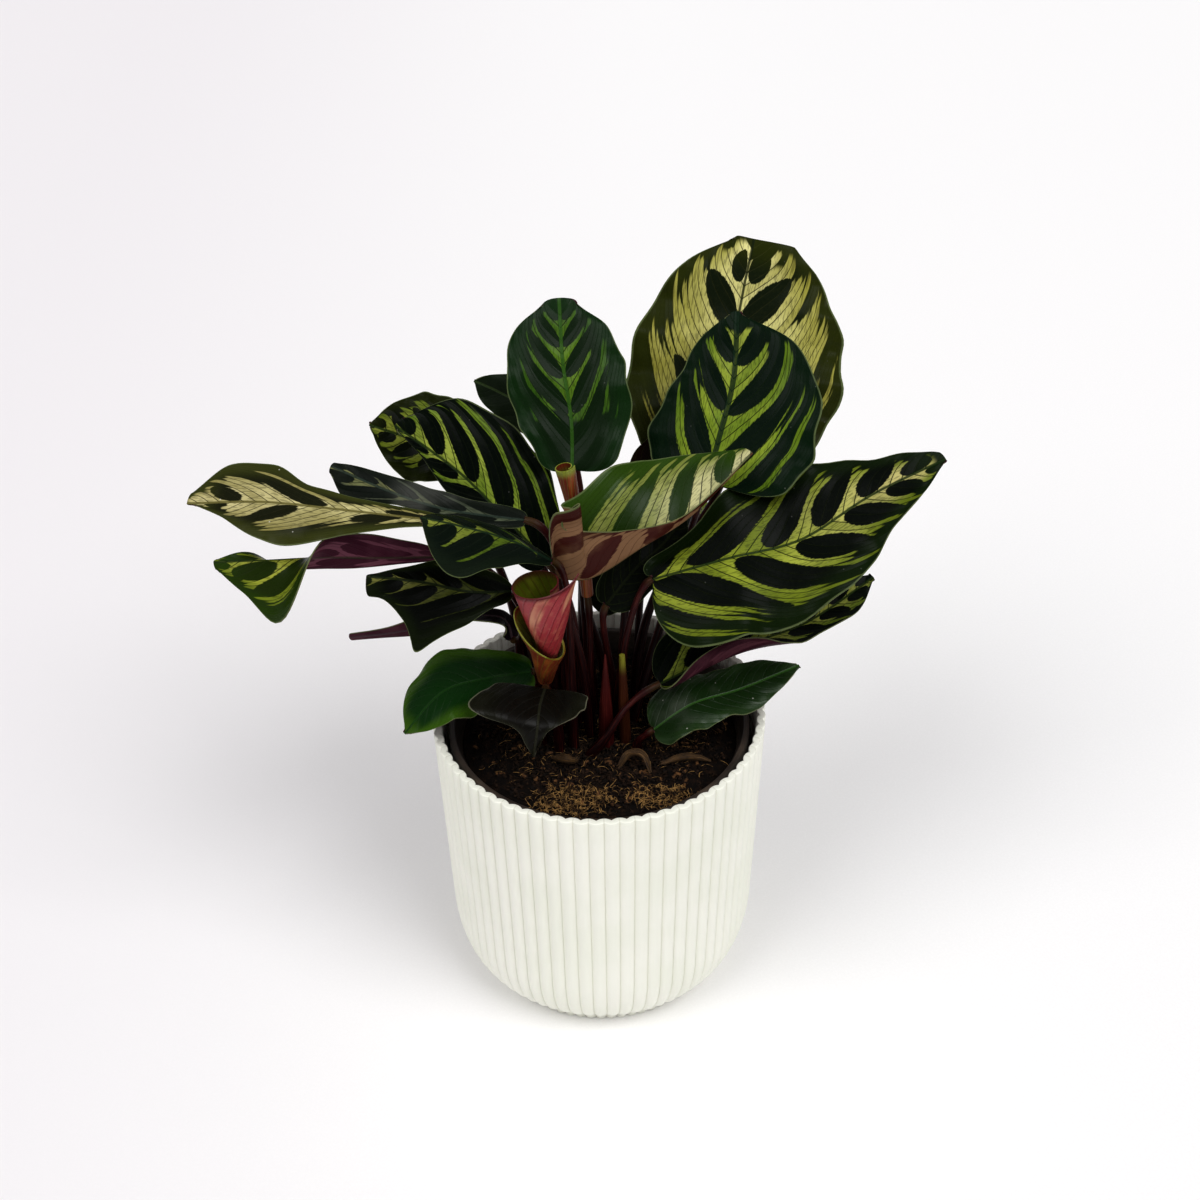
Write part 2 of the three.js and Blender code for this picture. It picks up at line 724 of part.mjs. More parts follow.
    spine: [[-30, 46, 190], [-46, 66, 192], [-60, 84, 188], [-72, 100, 178]],
    face: [[-0.2, 0.3, 0.9], [-0.3, 0.5, 0.8]],
    left: 21,
    right: 21,
    fold: [8, 8],
    curl: [-15, -15],
    wave: [1.5, 3, 0.6],
  },
];

// Young leaves, still rolled, and the sheath of the lower one.
const rolls = [
  {
    name: 'new_leaf',
    foot: [-24, -7],
    spine: [[-21, -12, 172], [-20, -19, 188], [-21, -23, 204], [-23, -23, 221]],
    radius: [2.3, 4.5, 7.5, 10],
    from: -10,
    wind: 400,
    shrink: 0.25,
    lip: 0,
    lipAt: -90,
    flare: 7,
    rows: 6,
    columns: 16,
    colour: '#c0696a',
  },
  {
    name: 'new_leaf_tight',
    foot: [-4, 4],
    spine: [[-4, 10, 191], [-6, 11, 213], [-9, 12, 235], [-12, 13, 252]],
    radius: [2.2, 2.6, 2.8, 3.9],
    from: 0,
    wind: 410,
    shrink: 0.35,
    rows: 5,
    columns: 14,
    colour: '#8c4a22',
  },
];
const sheath = {
  spine: [[-22, -9, 162], [-22, -14, 174], [-22.5, -18, 185], [-25, -22, 196]],
  radius: [2.8, 4.5, 6.5, 9],
  from: 60,
  wind: 330,
  lip: 14,
  lipAt: 165,
  rows: 5,
  columns: 14,
};

// Pointed shoots that have not opened.
const shoots = [
  { name: 'shoot_red', foot: [3, -9], top: [3, -9, 174], radii: [3, 3.4, 3, 0.3], colour: '#7a2428' },
  { name: 'shoot_tipped', foot: [11, -8], top: [10, -7, 172], radii: [2.8, 2.8, 2.4, 1.2], colour: '#6b3020' },
];

// Dry leaves that have dropped on the peat: their midribs lie just above it.
const litter = [
  { name: 'dry_curl', points: [[-19, -20], [-15, -24], [-11, -23], [-9, -19]], width: 3.5, lift: [1.2, 3.2, 2.2, 1.2] },
  { name: 'dry_loop', points: [[9, -24], [13, -22], [18, -24], [21, -28]], width: 3, lift: [1.2, 5, 6, 1.2] },
  { name: 'dry_lance', points: [[27, -24], [33, -22], [40, -20], [47, -20]], width: 3, lift: [1.2, 1.2, 1.2, 1.2] },
];

const plant = new THREE.Group();
const stalkHoles = [];

function addMesh(name, geometry, colour, roughness) {
  const material = new THREE.MeshStandardMaterial({ color: colour, roughness, metalness: 0 });
  const mesh = new THREE.Mesh(geometry, material);
  mesh.name = name;
  plant.add(mesh);
}

const stalkRadii = [STALK_FOOT_RADIUS, STALK_FOOT_RADIUS, STALK_TOP_RADIUS, STALK_TOP_RADIUS];
function addStalk(piece) {
  const [x, y] = piece.foot;
  addMesh(`stalk_${piece.name}`, tubeGeometry(stalkPath(piece), stalkRadii), '#4a1618', 0.45);
  stalkHoles.push({ x, y, radius: STALK_FOOT_RADIUS });
}

for (const leaf of leaves) {
  addMesh(`leaf_${leaf.name}`, bladeGeometry(leaf), '#1c3a22', 0.4);
  addStalk(leaf);
}

for (const roll of rolls) {
  const { rows, columns } = roll;
  addMesh(roll.name, sheetGeometry(rollSurface(roll, rows, columns), rows, columns), roll.colour, 0.4);
  addStalk(roll);
}
const wrapped = rollSurface(sheath, sheath.rows, sheath.columns);
addMesh('sheath', sheetGeometry(wrapped, sheath.rows, sheath.columns), '#8c3a2a', 0.45);

for (const { name, foot, top, radii, colour } of shoots) {
  const [x, y] = foot;
  const ground = soilHeight(x, y);
  const axis = [[x, y, ground - STALK_DEPTH], [x, y, ground], top];
  const path = [0, 1, 2, 3, 4, 5, 6].map((k) => through(axis, k / 6));
  addMesh(name, tubeGeometry(path, radii), colour, 0.4);
  stalkHoles.push({ x, y, radius: Math.max(...radii) });
}

for (const { name, points, width, lift } of litter) {
  const spine = points.map(([x, y], k) => [x, y, soilHeight(x, y) + lift[k]]);
  const dry = { spine, face: [[0, 0, 1], [0, 0, 1]], left: width, right: width, fold: [20, 20], curl: [40, 40] };
  addMesh(name, bladeGeometry(dry), '#9a7440', 0.8);
}

addMesh('pot', potGeometry(), '#efefe6', 0.5);
addMesh('nursery_pot', cupGeometry(), '#2a2420', 0.55);
addMesh('peat', soilGeometry(stalkHoles), '#1c120b', 0.95);

export default plant;
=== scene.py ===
# %% [markdown]
# # A potted peacock plant
# The object is a patterned house plant, its nursery pot and a ribbed white outer pot.
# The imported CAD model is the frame: it fixes the sizes and places. This script puts a finer visual
# piece where each CAD node is, and gives every surface a procedural material. Sizes are in millimetres
# up to the point where a mesh is made, because a maker measures a pot and a leaf in them.

# %% Frame
import math

import bpy
import numpy as np
import mathutils.noise
from mathutils import Matrix, Vector


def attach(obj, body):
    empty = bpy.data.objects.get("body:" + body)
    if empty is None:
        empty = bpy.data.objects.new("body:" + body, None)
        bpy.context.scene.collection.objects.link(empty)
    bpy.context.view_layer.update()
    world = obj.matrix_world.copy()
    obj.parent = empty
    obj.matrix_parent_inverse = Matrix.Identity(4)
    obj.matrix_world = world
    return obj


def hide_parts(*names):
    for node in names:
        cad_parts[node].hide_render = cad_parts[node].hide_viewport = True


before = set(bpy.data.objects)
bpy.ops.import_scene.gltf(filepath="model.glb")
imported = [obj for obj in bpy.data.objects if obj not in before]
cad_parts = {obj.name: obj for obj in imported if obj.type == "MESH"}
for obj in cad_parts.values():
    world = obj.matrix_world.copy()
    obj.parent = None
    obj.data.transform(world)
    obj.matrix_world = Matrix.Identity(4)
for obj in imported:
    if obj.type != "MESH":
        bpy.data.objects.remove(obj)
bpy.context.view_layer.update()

MM = 0.001

# %% [markdown]
# ## Camera
# A portrait of a small pot is taken from above at arm's length with a normal lens.
# The camera could be tracked to an empty, but its aim, distance and tilt are plainer as four numbers.
# They were found from the pot: its rim, foot and height fix them. The roll of a degree is a hand's.

# %% Camera
CAMERA_AIM = (1.3, 78.5, 137)
CAMERA_DISTANCE = 872
CAMERA_ELEVATION = 36.66
CAMERA_ROLL = -1.01
CAMERA_LENS = 56.7

tilt = math.radians(CAMERA_ELEVATION)
roll = math.radians(CAMERA_ROLL)
looking = Vector((0, math.cos(tilt), -math.sin(tilt)))
level_right = Vector((1, 0, 0))
level_up = level_right.cross(looking)
right = math.cos(roll) * level_right + math.sin(roll) * level_up
up = right.cross(looking)
camera = bpy.data.objects.new("camera", bpy.data.cameras.new("camera"))
camera.data.lens = CAMERA_LENS
camera.data.clip_start = 0.05
camera.matrix_world = Matrix.Translation(
    (Vector(CAMERA_AIM) - looking * CAMERA_DISTANCE) * MM
) @ Matrix((right, up, -looking)).transposed().to_4x4()
bpy.context.collection.objects.link(camera)
bpy.context.scene.camera = camera
print("camera at", tuple(round(c, 3) for c in camera.location))

# %% [markdown]
# ## Colours and nodes
# Colours are written as sRGB hex, as a colour picker shows them, and are turned to linear light here.
# Image textures could give the marks of a leaf, but node trees stay sharp at any distance. A material is
# then a chain of small sums, so `Value` lets Python arithmetic build the Math nodes.

# %% Colours and nodes
def linear(hex_colour):
    """The linear RGBA of an sRGB hex colour."""
    parts = [int(hex_colour[k:k + 2], 16) / 255 for k in (1, 3, 5)]
    parts = [p / 12.92 if p <= 0.04045 else ((p + 0.055) / 1.055) ** 2.4 for p in parts]
    return (*parts, 1.0)


def node(tree, kind, inputs=None, **settings):
    """Adds a node with its settings, and sets or links its inputs."""
    made = tree.nodes.new(kind)
    for name, setting in settings.items():
        setattr(made, name, setting)
    for key, value in (inputs or {}).items():
        if isinstance(value, Value):
            value = value.socket
        if isinstance(value, bpy.types.NodeSocket):
            tree.links.new(value, made.inputs[key])
        else:
            made.inputs[key].default_value = value
    return made


class Value:
    """A number in a node tree. Arithmetic on it adds Math nodes."""

    def __init__(self, tree, socket):
        self.tree = tree
        self.socket = socket

    def math(self, operation, *others):
        inputs = dict(enumerate((self, *others)))
        return Value(self.tree, node(self.tree, "ShaderNodeMath", inputs, operation=operation).outputs[0])

    def __add__(self, other):
        return self.math("ADD", other)

    def __sub__(self, other):
        return self.math("SUBTRACT", other)

    def __mul__(self, other):
        return self.math("MULTIPLY", other)

    def __truediv__(self, other):
        return self.math("DIVIDE", other)

    def __pow__(self, other):
        return self.math("POWER", other)

    def inverse(self):
        """One minus this."""
        return self * -1 + 1

    def step(self, low, high):
        """0 up to low, 1 from high on, and a smooth rise between."""
        inputs = {"Value": self, "From Min": low, "From Max": high}
        made = node(self.tree, "ShaderNodeMapRange", inputs, interpolation_type="SMOOTHSTEP")
        return Value(self.tree, made.outputs[0])


def texture(tree, kind, vector, grain=None, **inputs):
    """The main number of a texture. Its grain is in millimetres, or else in the vector's steps."""
    scale = 1 / (grain * MM) if grain else 1.0
    made = node(tree, kind, {"Vector": vector, "Scale": scale, **inputs})
    outputs = {output.name: output for output in made.outputs}
    return Value(tree, outputs.get("Fac") or outputs["Distance"])


def map_values(tree, layer):
    """The two numbers of one of a piece's own maps."""
    place = node(tree, "ShaderNodeUVMap", uv_map=layer).outputs[0]
    parts = node(tree, "ShaderNodeSeparateXYZ", {0: place}).outputs
    return Value(tree, parts["X"]), Value(tree, parts["Y"])


def paint(tree, ground, layers):
    """Lays colours over a ground colour, each where its mask is 1."""
    for mask, colour in layers:
        colour = linear(colour) if isinstance(colour, str) else colour
        ground = linear(ground) if isinstance(ground, str) else ground
        inputs = {0: mask, 6: ground, 7: colour}
        ground = node(tree, "ShaderNodeMix", inputs, data_type="RGBA").outputs[2]
    return ground


def new_material(name, **shader):
    """A material, its tree, its principled shader and its object coordinates."""
    made = bpy.data.materials.new(name)
    made.use_nodes = True
    tree = made.node_tree
    principled = tree.nodes["Principled BSDF"]
    for key, value in shader.items():
        principled.inputs[key.replace("_", " ")].default_value = value
    place = node(tree, "ShaderNodeTexCoord").outputs["Object"]
    return made, tree, principled, place


def dress(tree, principled, colour, roughness, height, relief):
    """Gives a shader its colour, its roughness, and a relief that lifts a height of 1 by millimetres."""
    tree.links.new(colour, principled.inputs["Base Color"])
    if roughness:
        tree.links.new(roughness.socket, principled.inputs["Roughness"])
    inputs = {"Height": height, "Distance": relief * MM, "Strength": 1.0}
    tree.links.new(node(tree, "ShaderNodeBump", inputs).outputs[0], principled.inputs["Normal"])


green = linear("#38580E")
print("a leaf green in linear light", [round(part, 3) for part in green[:3]])


# %% [markdown]
# ## Light and floor
# The plant stands on a bright white sweep, with two faint shadows that spread behind the pot. Area
# lights near the plant could make them, but their light would fade over the leaves. So two suns as broad
# as soft boxes stand high in front, one to each side, with a faint one above and a pale world.
# The right one is a little stronger, as the right half of the sweep is the brighter one.
# The sweep is coated paper: matt, with a grain that is drawn at a millimetre so that it shows at all.

# %% Light and floor
scene = bpy.context.scene
scene.view_settings.view_transform = "Standard"
# The photograph is a contrasty one: its shade is deep and its whites are nearly blown.
scene.view_settings.gamma = 0.88
WORLD_STRENGTH = 0.34
world = bpy.data.worlds.new("studio")
world.use_nodes = True
world.node_tree.nodes["Background"].inputs["Color"].default_value = linear("#FCFBFD")
world.node_tree.nodes["Background"].inputs["Strength"].default_value = WORLD_STRENGTH
scene.world = world


def add_soft_light(name, azimuth, elevation, strength, spread):
    """A distant light as broad as a soft box. Azimuth 0 is in front, and 90 at the right."""
    light = bpy.data.lights.new(name, "SUN")
    light.energy = strength
    light.angle = math.radians(spread)
    turn, rise = math.radians(azimuth), math.radians(elevation)
    source = Vector((math.sin(turn) * math.cos(rise), -math.cos(turn) * math.cos(rise), math.sin(rise)))
    lamp = bpy.data.objects.new(name, light)
    lamp.matrix_world = source.to_track_quat("Z", "Y").to_matrix().to_4x4()
    bpy.context.collection.objects.link(lamp)


add_soft_light("soft_right", 48, 52, 1.5, 36)
add_soft_light("soft_left", -52, 50, 1.08, 36)
add_soft_light("soft_top", 20, 84, 0.4, 60)

FLOOR_REACH = 6
floor_mesh = bpy.data.meshes.new("floor")
corners = [(FLOOR_REACH * x, FLOOR_REACH * y, 0) for x, y in ((-1, -1), (1, -1), (1, 1), (-1, 1))]
floor_mesh.from_pydata(corners, [], [(0, 1, 2, 3)])
floor = bpy.data.objects.new("floor", floor_mesh)
bpy.context.collection.objects.link(floor)
board, board_tree, board_shader, board_place = new_material("paper_sweep", Roughness=0.7)
grain = texture(board_tree, "ShaderNodeTexNoise", board_place, 1.11, Detail=2.0)
east = Value(board_tree, node(board_tree, "ShaderNodeSeparateXYZ", {0: board_place}).outputs["X"])
board_colour = paint(board_tree, "#F5F4F4", [
    (grain.step(0.3, 0.9), "#F9F8F8"),
    # Painted shade: the left of the sweep is drawn a little darker, where less light falls.
    (east.step(0.1, -0.45), "#EDEAEC"),
])
dress(board_tree, board_shader, board_colour, None, grain, 0.04)
floor_mesh.materials.append(board)

# %% [markdown]
# ## Meshes
# Every piece here is a closed shell. Blades, young leaves and the sheath are thin sheets: a grid of
# points with the same grid again one thickness below. Pots are stacks of rings. Stalks are tubes.
# Modifiers could thicken and turn them, but plain points let a piece follow the CAD model's own curves,
# so that it lies where its CAD node does.

# %% Curves
def through(values, t):
    """A smooth curve through evenly spaced numbers or points, at a station from 0 to 1."""
    values = np.asarray(values, float)
    last = len(values) - 1
    i = min(int(t * last), last - 1)
    f = t * last - i
    a, b, c, d = (values[min(max(k, 0), last)] for k in (i - 1, i, i + 1, i + 2))
    return b + 0.5 * f * (c - a + f * (2 * a - 5 * b + 4 * c - d + f * (3 * (b - c) + d - a)))


def unit(v):
    """A vector of length one."""
    return v / np.linalg.norm(v)


def direction(points, t):
    """The way that a smooth curve runs."""
    return unit(through(points, min(t + 0.01, 1)) - through(points, max(t - 0.01, 0)))


print("halfway through 0, 1 and 4 the curve is at", float(through((0, 1, 4), 0.5)))

# %% Closed shells
# A sheet's second map holds lengths in decimetres, so that its numbers stay near 1.
def add_mesh(name, vertices, faces, materials, face_materials=None, uvs=None, sharp=50):
    """Makes a smooth-shaded object from points in millimetres."""
    mesh = bpy.data.meshes.new(name)
    mesh.from_pydata((np.asarray(vertices, float) * MM).tolist(), [], faces)
    for made in materials:
        mesh.materials.append(made)
    if face_materials is not None:
        mesh.polygons.foreach_set("material_index", face_materials)
    for layer_name, table in (uvs or {}).items():
        layer = mesh.uv_layers.new(name=layer_name)
        corners = np.zeros(len(mesh.loops), int)
        mesh.loops.foreach_get("vertex_index", corners)
        layer.data.foreach_set("uv", np.asarray(table, float)[corners].ravel())
    mesh.polygons.foreach_set("use_smooth", [True] * len(mesh.polygons))
    mesh.set_sharp_from_angle(angle=math.radians(sharp))
    mesh.update()
    piece = bpy.data.objects.new(name, mesh)
    bpy.context.collection.objects.link(piece)
    return piece


def settle(piece, slot, *nodes):
    """Hands a finished piece to the frame: it joins the root body and hides the CAD nodes that it
    replaces. The slot is not used.
    """
    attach(piece, "root")
    if nodes:
        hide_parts(*nodes)


DECIMETRE = 100


def add_sheet(name, top, thickness, upper, under):
    """A thin closed sheet. Its maps hold across and along, as shares and in decimetres."""
    rows, columns = top.shape[0] - 1, top.shape[1] - 1
    across = np.gradient(top, axis=1)
    along = np.gradient(top, axis=0)
    normal = np.cross(across, along)
    normal /= np.maximum(np.linalg.norm(normal, axis=2, keepdims=True), 1e-9)
    bottom = top - normal * thickness
    vertices = np.concatenate([top.reshape(-1, 3), bottom.reshape(-1, 3)])
    per_row = columns + 1
    below = (rows + 1) * per_row
    faces = []
    for j in range(rows):
        for k in range(columns):
            a = j * per_row + k
            faces.append((a, a + 1, a + per_row + 1, a + per_row))
    count = len(faces)
    faces += [(below + d, below + c, below + b, below + a) for a, b, c, d in faces]
    rim = list(range(per_row))
    rim += [j * per_row + columns for j in range(1, rows + 1)]
    rim += [rows * per_row + k for k in range(columns - 1, -1, -1)]
    rim += [j * per_row for j in range(rows - 1, 0, -1)]
    for a, b in zip(rim, rim[1:] + rim[:1]):
        faces.append((b, a, below + a, below + b))
    sides = [0] * count + [1] * (len(faces) - count)
    u, v = np.meshgrid(np.linspace(0, 1, per_row), np.linspace(0, 1, rows + 1))
    steps = np.linalg.norm(np.diff(top, axis=1), axis=2)
    reach = np.concatenate([np.zeros((rows + 1, 1)), np.cumsum(steps, axis=1)], axis=1)
    reach -= reach[:, columns // 2:columns // 2 + 1]
    spine = np.linalg.norm(np.diff(top[:, columns // 2], axis=0), axis=1)
    run = np.repeat(np.concatenate([[0], np.cumsum(spine)])[:, None], per_row, axis=1)
    v = run / run.max()
    share = np.tile(np.stack([u, v], axis=2).reshape(-1, 2), (2, 1))
    size = np.tile(np.stack([reach, run], axis=2).reshape(-1, 2) / DECIMETRE, (2, 1))
    return add_mesh(name, vertices, faces, [upper, under], sides, {"share": share, "size": size})


def add_tube(name, path, radii, sides, made):
    """A closed round tube along a path, with its own radius at every station."""
    path = np.asarray(path, float)
    steps = len(path) - 1
    across = np.array([1.0, 0, 0])
    vertices, table = [], []
    for j in range(steps + 1):
        along = unit(path[min(j + 1, steps)] - path[max(j - 1, 0)])
        across = unit(across - along * across.dot(along))
        other = np.cross(along, across)
        r = through(radii, j / steps)
        for i in range(sides):
            angle = 2 * math.pi * i / sides
            vertices.append(path[j] + r * (math.cos(angle) * across + math.sin(angle) * other))
            table.append((i / sides, j / steps))
    faces = []
    for j in range(steps):
        for i in range(sides):
            n = (i + 1) % sides
            low, high = j * sides, (j + 1) * sides
            faces.append((low + i, low + n, high + n, high + i))
    faces.append(tuple(range(sides - 1, -1, -1)))
    faces.append(tuple(steps * sides + i for i in range(sides)))
    return add_mesh(name, vertices, faces, [made], None, {"share": table})


def add_rings(name, rings, made, sharp):
    """A closed shell from rings of equal counts, from the middle of the floor round and back to it."""
    count = len(rings[0])
    vertices = [rings[0].mean(axis=0)] + [p for ring in rings for p in ring] + [rings[-1].mean(axis=0)]
    faces = []
    for i in range(count):
        n = (i + 1) % count
        faces.append((0, 1 + n, 1 + i))
        for j in range(len(rings) - 1):
            low = 1 + j * count
            faces.append((low + i, low + n, low + count + n, low + count + i))
        top = 1 + (len(rings) - 1) * count
        faces.append((top + i, top + n, len(vertices) - 1))
    return add_mesh(name, vertices, faces, [made], sharp=sharp)


# %% [markdown]
# ## Outer pot
# The pot is injection-moulded plastic: seventy round ribs, a soft shoulder and a rim that keeps the ribs'
# scallops on both sides. Each rib is a shallow arch between two narrow grooves, and ten points draw it.
# Ribs could be separate rods on a cylinder, but the real wall is one shell, so rings of points make it.
# Inside, the arches point inwards and lie half a rib further round, so the wall is as thick everywhere.
# The plastic is matt and cream-white, with a very fine orange peel and a few dark specks of dust.
# The grooves are painted a little darker, as painted shade.

# %% Outer pot
POT_HEIGHT = 137
POT_RIM_RADIUS = 70
POT_SHOULDER_RADIUS = 66.6
POT_SHOULDER_Z = 40
POT_FOOT_RADIUS = 52.3
POT_FOOT_Z = 7
POT_BASE_RADIUS = 51.6
POT_WALL = 2.6
POT_FLOOR = 3
RIB_COUNT = 70
RIB_DEPTH = 1.2
FIRST_GROOVE = math.radians(-88.93)
POINTS_PER_RIB = 10
SHOULDER_STEPS = 18
EDGE_ROUND = 0.5
# The inner scallops end here, and the wall is smooth inside below them.
SCALLOPS_END_Z = 112
SMOOTH_LEVELS = (104, 70, 43, 34, 23, 16, 12, 10)
INNER_FLOOR_RADIUS = 46
# Each floor has a ring near its middle, so that its triangles aren't slivers.
FLOOR_RING = 20


def pot_wall_radius(z):
    """The radius at the bottom of the grooves."""
    if z <= POT_FOOT_Z:
        return POT_BASE_RADIUS + (POT_FOOT_RADIUS - POT_BASE_RADIUS) * z / POT_FOOT_Z
    if z < POT_SHOULDER_Z:
        rise = (POT_SHOULDER_Z - z) / (POT_SHOULDER_Z - POT_FOOT_Z)
        return POT_FOOT_RADIUS + (POT_SHOULDER_RADIUS - POT_FOOT_RADIUS) * math.sqrt(1 - rise * rise)
    share = (z - POT_SHOULDER_Z) / (POT_HEIGHT - POT_SHOULDER_Z)
    return POT_SHOULDER_RADIUS + (POT_RIM_RADIUS - POT_SHOULDER_RADIUS) * share


def pot_ring(z, radius, rib, shift=0):
    """A ring of the pot. Rib is the height of its ribs, and shift moves them round by a part of a rib."""
    turn = np.arange(RIB_COUNT * POINTS_PER_RIB) / POINTS_PER_RIB
    arch = 1 - np.abs(2 * ((turn + shift) % 1) - 1) ** 2.2
    angle = FIRST_GROOVE + turn * 2 * math.pi / RIB_COUNT
    r = radius + rib * arch
    return np.stack([r * np.cos(angle), r * np.sin(angle), np.full_like(r, z)], axis=1)


plastic, tree, shader, place = new_material("white_moulded_plastic", IOR=1.46)
mottle = texture(tree, "ShaderNodeTexNoise", place, 28.6, Detail=3.0)
# Real orange peel is finer than this: it is drawn at about 0.7 mm so that it shows at all.
peel = texture(tree, "ShaderNodeTexNoise", place, 0.71, Detail=1.0)
speck = texture(tree, "ShaderNodeTexVoronoi", place, 23.8, Randomness=1.0)
xyz = node(tree, "ShaderNodeSeparateXYZ", {0: place}).outputs
turn = Value(tree, xyz["Y"]).math("ARCTAN2", Value(tree, xyz["X"])) - FIRST_GROOVE
rib_beat = ((turn * (RIB_COUNT / (2 * math.pi)) + RIB_COUNT).math("FRACT") - 0.5).math("ABSOLUTE")
colour = paint(tree, "#EEEFE3", [
    (mottle.step(0.35, 0.7), "#F2F2E8"),
    # Painted shade: the grooves are drawn a little darker.
    (rib_beat.step(0.42, 0.5) * 0.35, "#C4C2AE"),
    (speck.step(0.016, 0.01), "#6A6252"),
])
dress(tree, shader, colour, peel * 0.12 + 0.42, peel, 0.03)


def edge_round(lean):
    """How far the rim's rounded edge has dropped and moved in, at a lean in degrees."""
    lean = math.radians(lean)
    return EDGE_ROUND * (1 - math.sin(lean)), EDGE_ROUND * (1 - math.cos(lean))


rings = [pot_ring(0, POT_BASE_RADIUS * k, 0) for k in (0.4, 0.9)]
rings.append(pot_ring(0, POT_BASE_RADIUS - 0.8, RIB_DEPTH * 0.6))
levels = [0.8, 2, 4, POT_FOOT_Z]
shoulder_rise = POT_SHOULDER_Z - POT_FOOT_Z
for k in range(1, SHOULDER_STEPS):
    levels.append(POT_FOOT_Z + shoulder_rise * (1 - math.cos(math.pi / 2 * k / SHOULDER_STEPS)))
levels += list(np.linspace(POT_SHOULDER_Z, POT_HEIGHT - EDGE_ROUND, 14))
rings += [pot_ring(z, pot_wall_radius(z), RIB_DEPTH) for z in levels]
inner_rim = POT_RIM_RADIUS - POT_WALL + RIB_DEPTH
for lean in (30, 60, 90):
    drop, inset = edge_round(lean)
    rings.append(pot_ring(POT_HEIGHT - drop, POT_RIM_RADIUS - inset, RIB_DEPTH))
for lean in (90, 45, 0):
    drop, inset = edge_round(lean)
    rings.append(pot_ring(POT_HEIGHT - drop, inner_rim + inset, -RIB_DEPTH, 0.5))
scallops_end = pot_wall_radius(SCALLOPS_END_Z - POT_FLOOR) - POT_WALL + RIB_DEPTH
rings.append(pot_ring(SCALLOPS_END_Z, scallops_end, -RIB_DEPTH, 0.5))
for z in SMOOTH_LEVELS:
    rings.append(pot_ring(z, pot_wall_radius(z - POT_FLOOR) - POT_WALL, 0))
rings += [pot_ring(POT_FLOOR, r, 0) for r in (INNER_FLOOR_RADIUS, FLOOR_RING)]
pot = add_rings("outer_pot", rings, plastic, sharp=70)
settle(pot, "outer_pot", "pot")
print("outer pot", len(pot.data.polygons), "faces")

# %% [markdown]
# ## Nursery pot
# Inside stands the thin brown pot that the plant was grown in. Only its rolled rim and the wall above
# the peat show. A Spin or Screw modifier could turn its section, and so does a stack of round rings,
# which the pot above uses too. It is dull polypropylene, worn pale in clouds. The fine rings of its mould
# are drawn 1.5 mm apart so that they show.

# %% Nursery pot
CLEARANCE = 0.3
CUP_RIM_RADIUS = 64.5
CUP_RIM_Z = 132
CUP_TOP_RADIUS = 62
CUP_BASE_RADIUS = 46
CUP_WALL = 1.6
CUP_LIP = 7
CUP_FLOOR_Z = POT_FLOOR + CLEARANCE
MOULD_RING = 1.5


def cup_inner_radius(z):
    """The inside of the nursery pot's sloping wall."""
    share = (z - CUP_FLOOR_Z) / (CUP_RIM_Z - CUP_FLOOR_Z)
    return CUP_BASE_RADIUS + (CUP_TOP_RADIUS - CUP_BASE_RADIUS) * share - CUP_WALL


def turned_ring(radius, z, count=144):
    """A round ring of points."""
    angle = np.arange(count) * 2 * math.pi / count
    return np.stack([radius * np.cos(angle), radius * np.sin(angle), np.full(count, z)], axis=1)


lip_z = CUP_RIM_Z - CUP_LIP
section = [(FLOOR_RING, CUP_FLOOR_Z), (CUP_BASE_RADIUS, CUP_FLOOR_Z)]
section += [(cup_inner_radius(z) + CUP_WALL, z) for z in (20, 50, 90, lip_z - 0.6, lip_z)]
section += [(CUP_RIM_RADIUS - 0.5, lip_z), (CUP_RIM_RADIUS, lip_z + 0.5)]
section += [(CUP_RIM_RADIUS, CUP_RIM_Z - 0.7)]
section += [(CUP_RIM_RADIUS - 0.3, CUP_RIM_Z - 0.2), (CUP_RIM_RADIUS - 0.8, CUP_RIM_Z)]
section += [(CUP_TOP_RADIUS + 0.5, CUP_RIM_Z), (CUP_TOP_RADIUS, CUP_RIM_Z - 0.3)]
section += [(CUP_TOP_RADIUS - 0.2, CUP_RIM_Z - 1)]
section += [(cup_inner_radius(z), z) for z in (lip_z, lip_z - 1, 122, 110, 60, CUP_FLOOR_Z + CUP_WALL)]
section.append((FLOOR_RING, CUP_FLOOR_Z + CUP_WALL))

polypropylene, tree, shader, place = new_material("brown_polypropylene", IOR=1.49)
cloud = texture(tree, "ShaderNodeTexNoise", place, 16.7, Detail=4.0)
height = Value(tree, node(tree, "ShaderNodeSeparateXYZ", {0: place}).outputs["Z"])
ring_wave = (height * (2 * math.pi / (MOULD_RING * MM))).math("SINE") * 0.5 + 0.5
colour = paint(tree, "#2E2620", [
    (cloud.step(0.4, 0.7), "#43382E"),
    (cloud.step(0.62, 0.8) * 0.6, "#6A5A48"),
])
dress(tree, shader, colour, cloud * 0.3 + 0.32, ring_wave, 0.05)
cup = add_rings("nursery_cup", [turned_ring(r, z) for r, z in section], polypropylene, sharp=50)
settle(cup, "nursery_pot", "nursery_pot")
print("nursery cup", len(cup.data.polygons), "faces")

# %% [markdown]
# ## Peat
# Potting peat is a dark, crumbly ground full of broken fibres and bark: dull, nearly black, with paler
# crumbs. A flat disc with a relief could stand for it, but the mound shows between the stalks, so its
# height repeats the CAD's and a layered noise adds the crumbs. Loose bits are scattered by Geometry
# Nodes, which suits anything that repeats at random over a surface: crumbs, bark, dark fibres, and pale
# fibres that lie thickest in two patches.

# %% Peat ground
SOIL_EDGE_Z = 122
SOIL_MOUND = 4
SOIL_RINGS = 90
SOIL_POINTS = 220
SOIL_BASE_Z = 5.2
LUMP_HEIGHT = 0.9
GRAIN_HEIGHT = 0.55
soil_edge_radius = cup_inner_radius(SOIL_EDGE_Z) - CLEARANCE


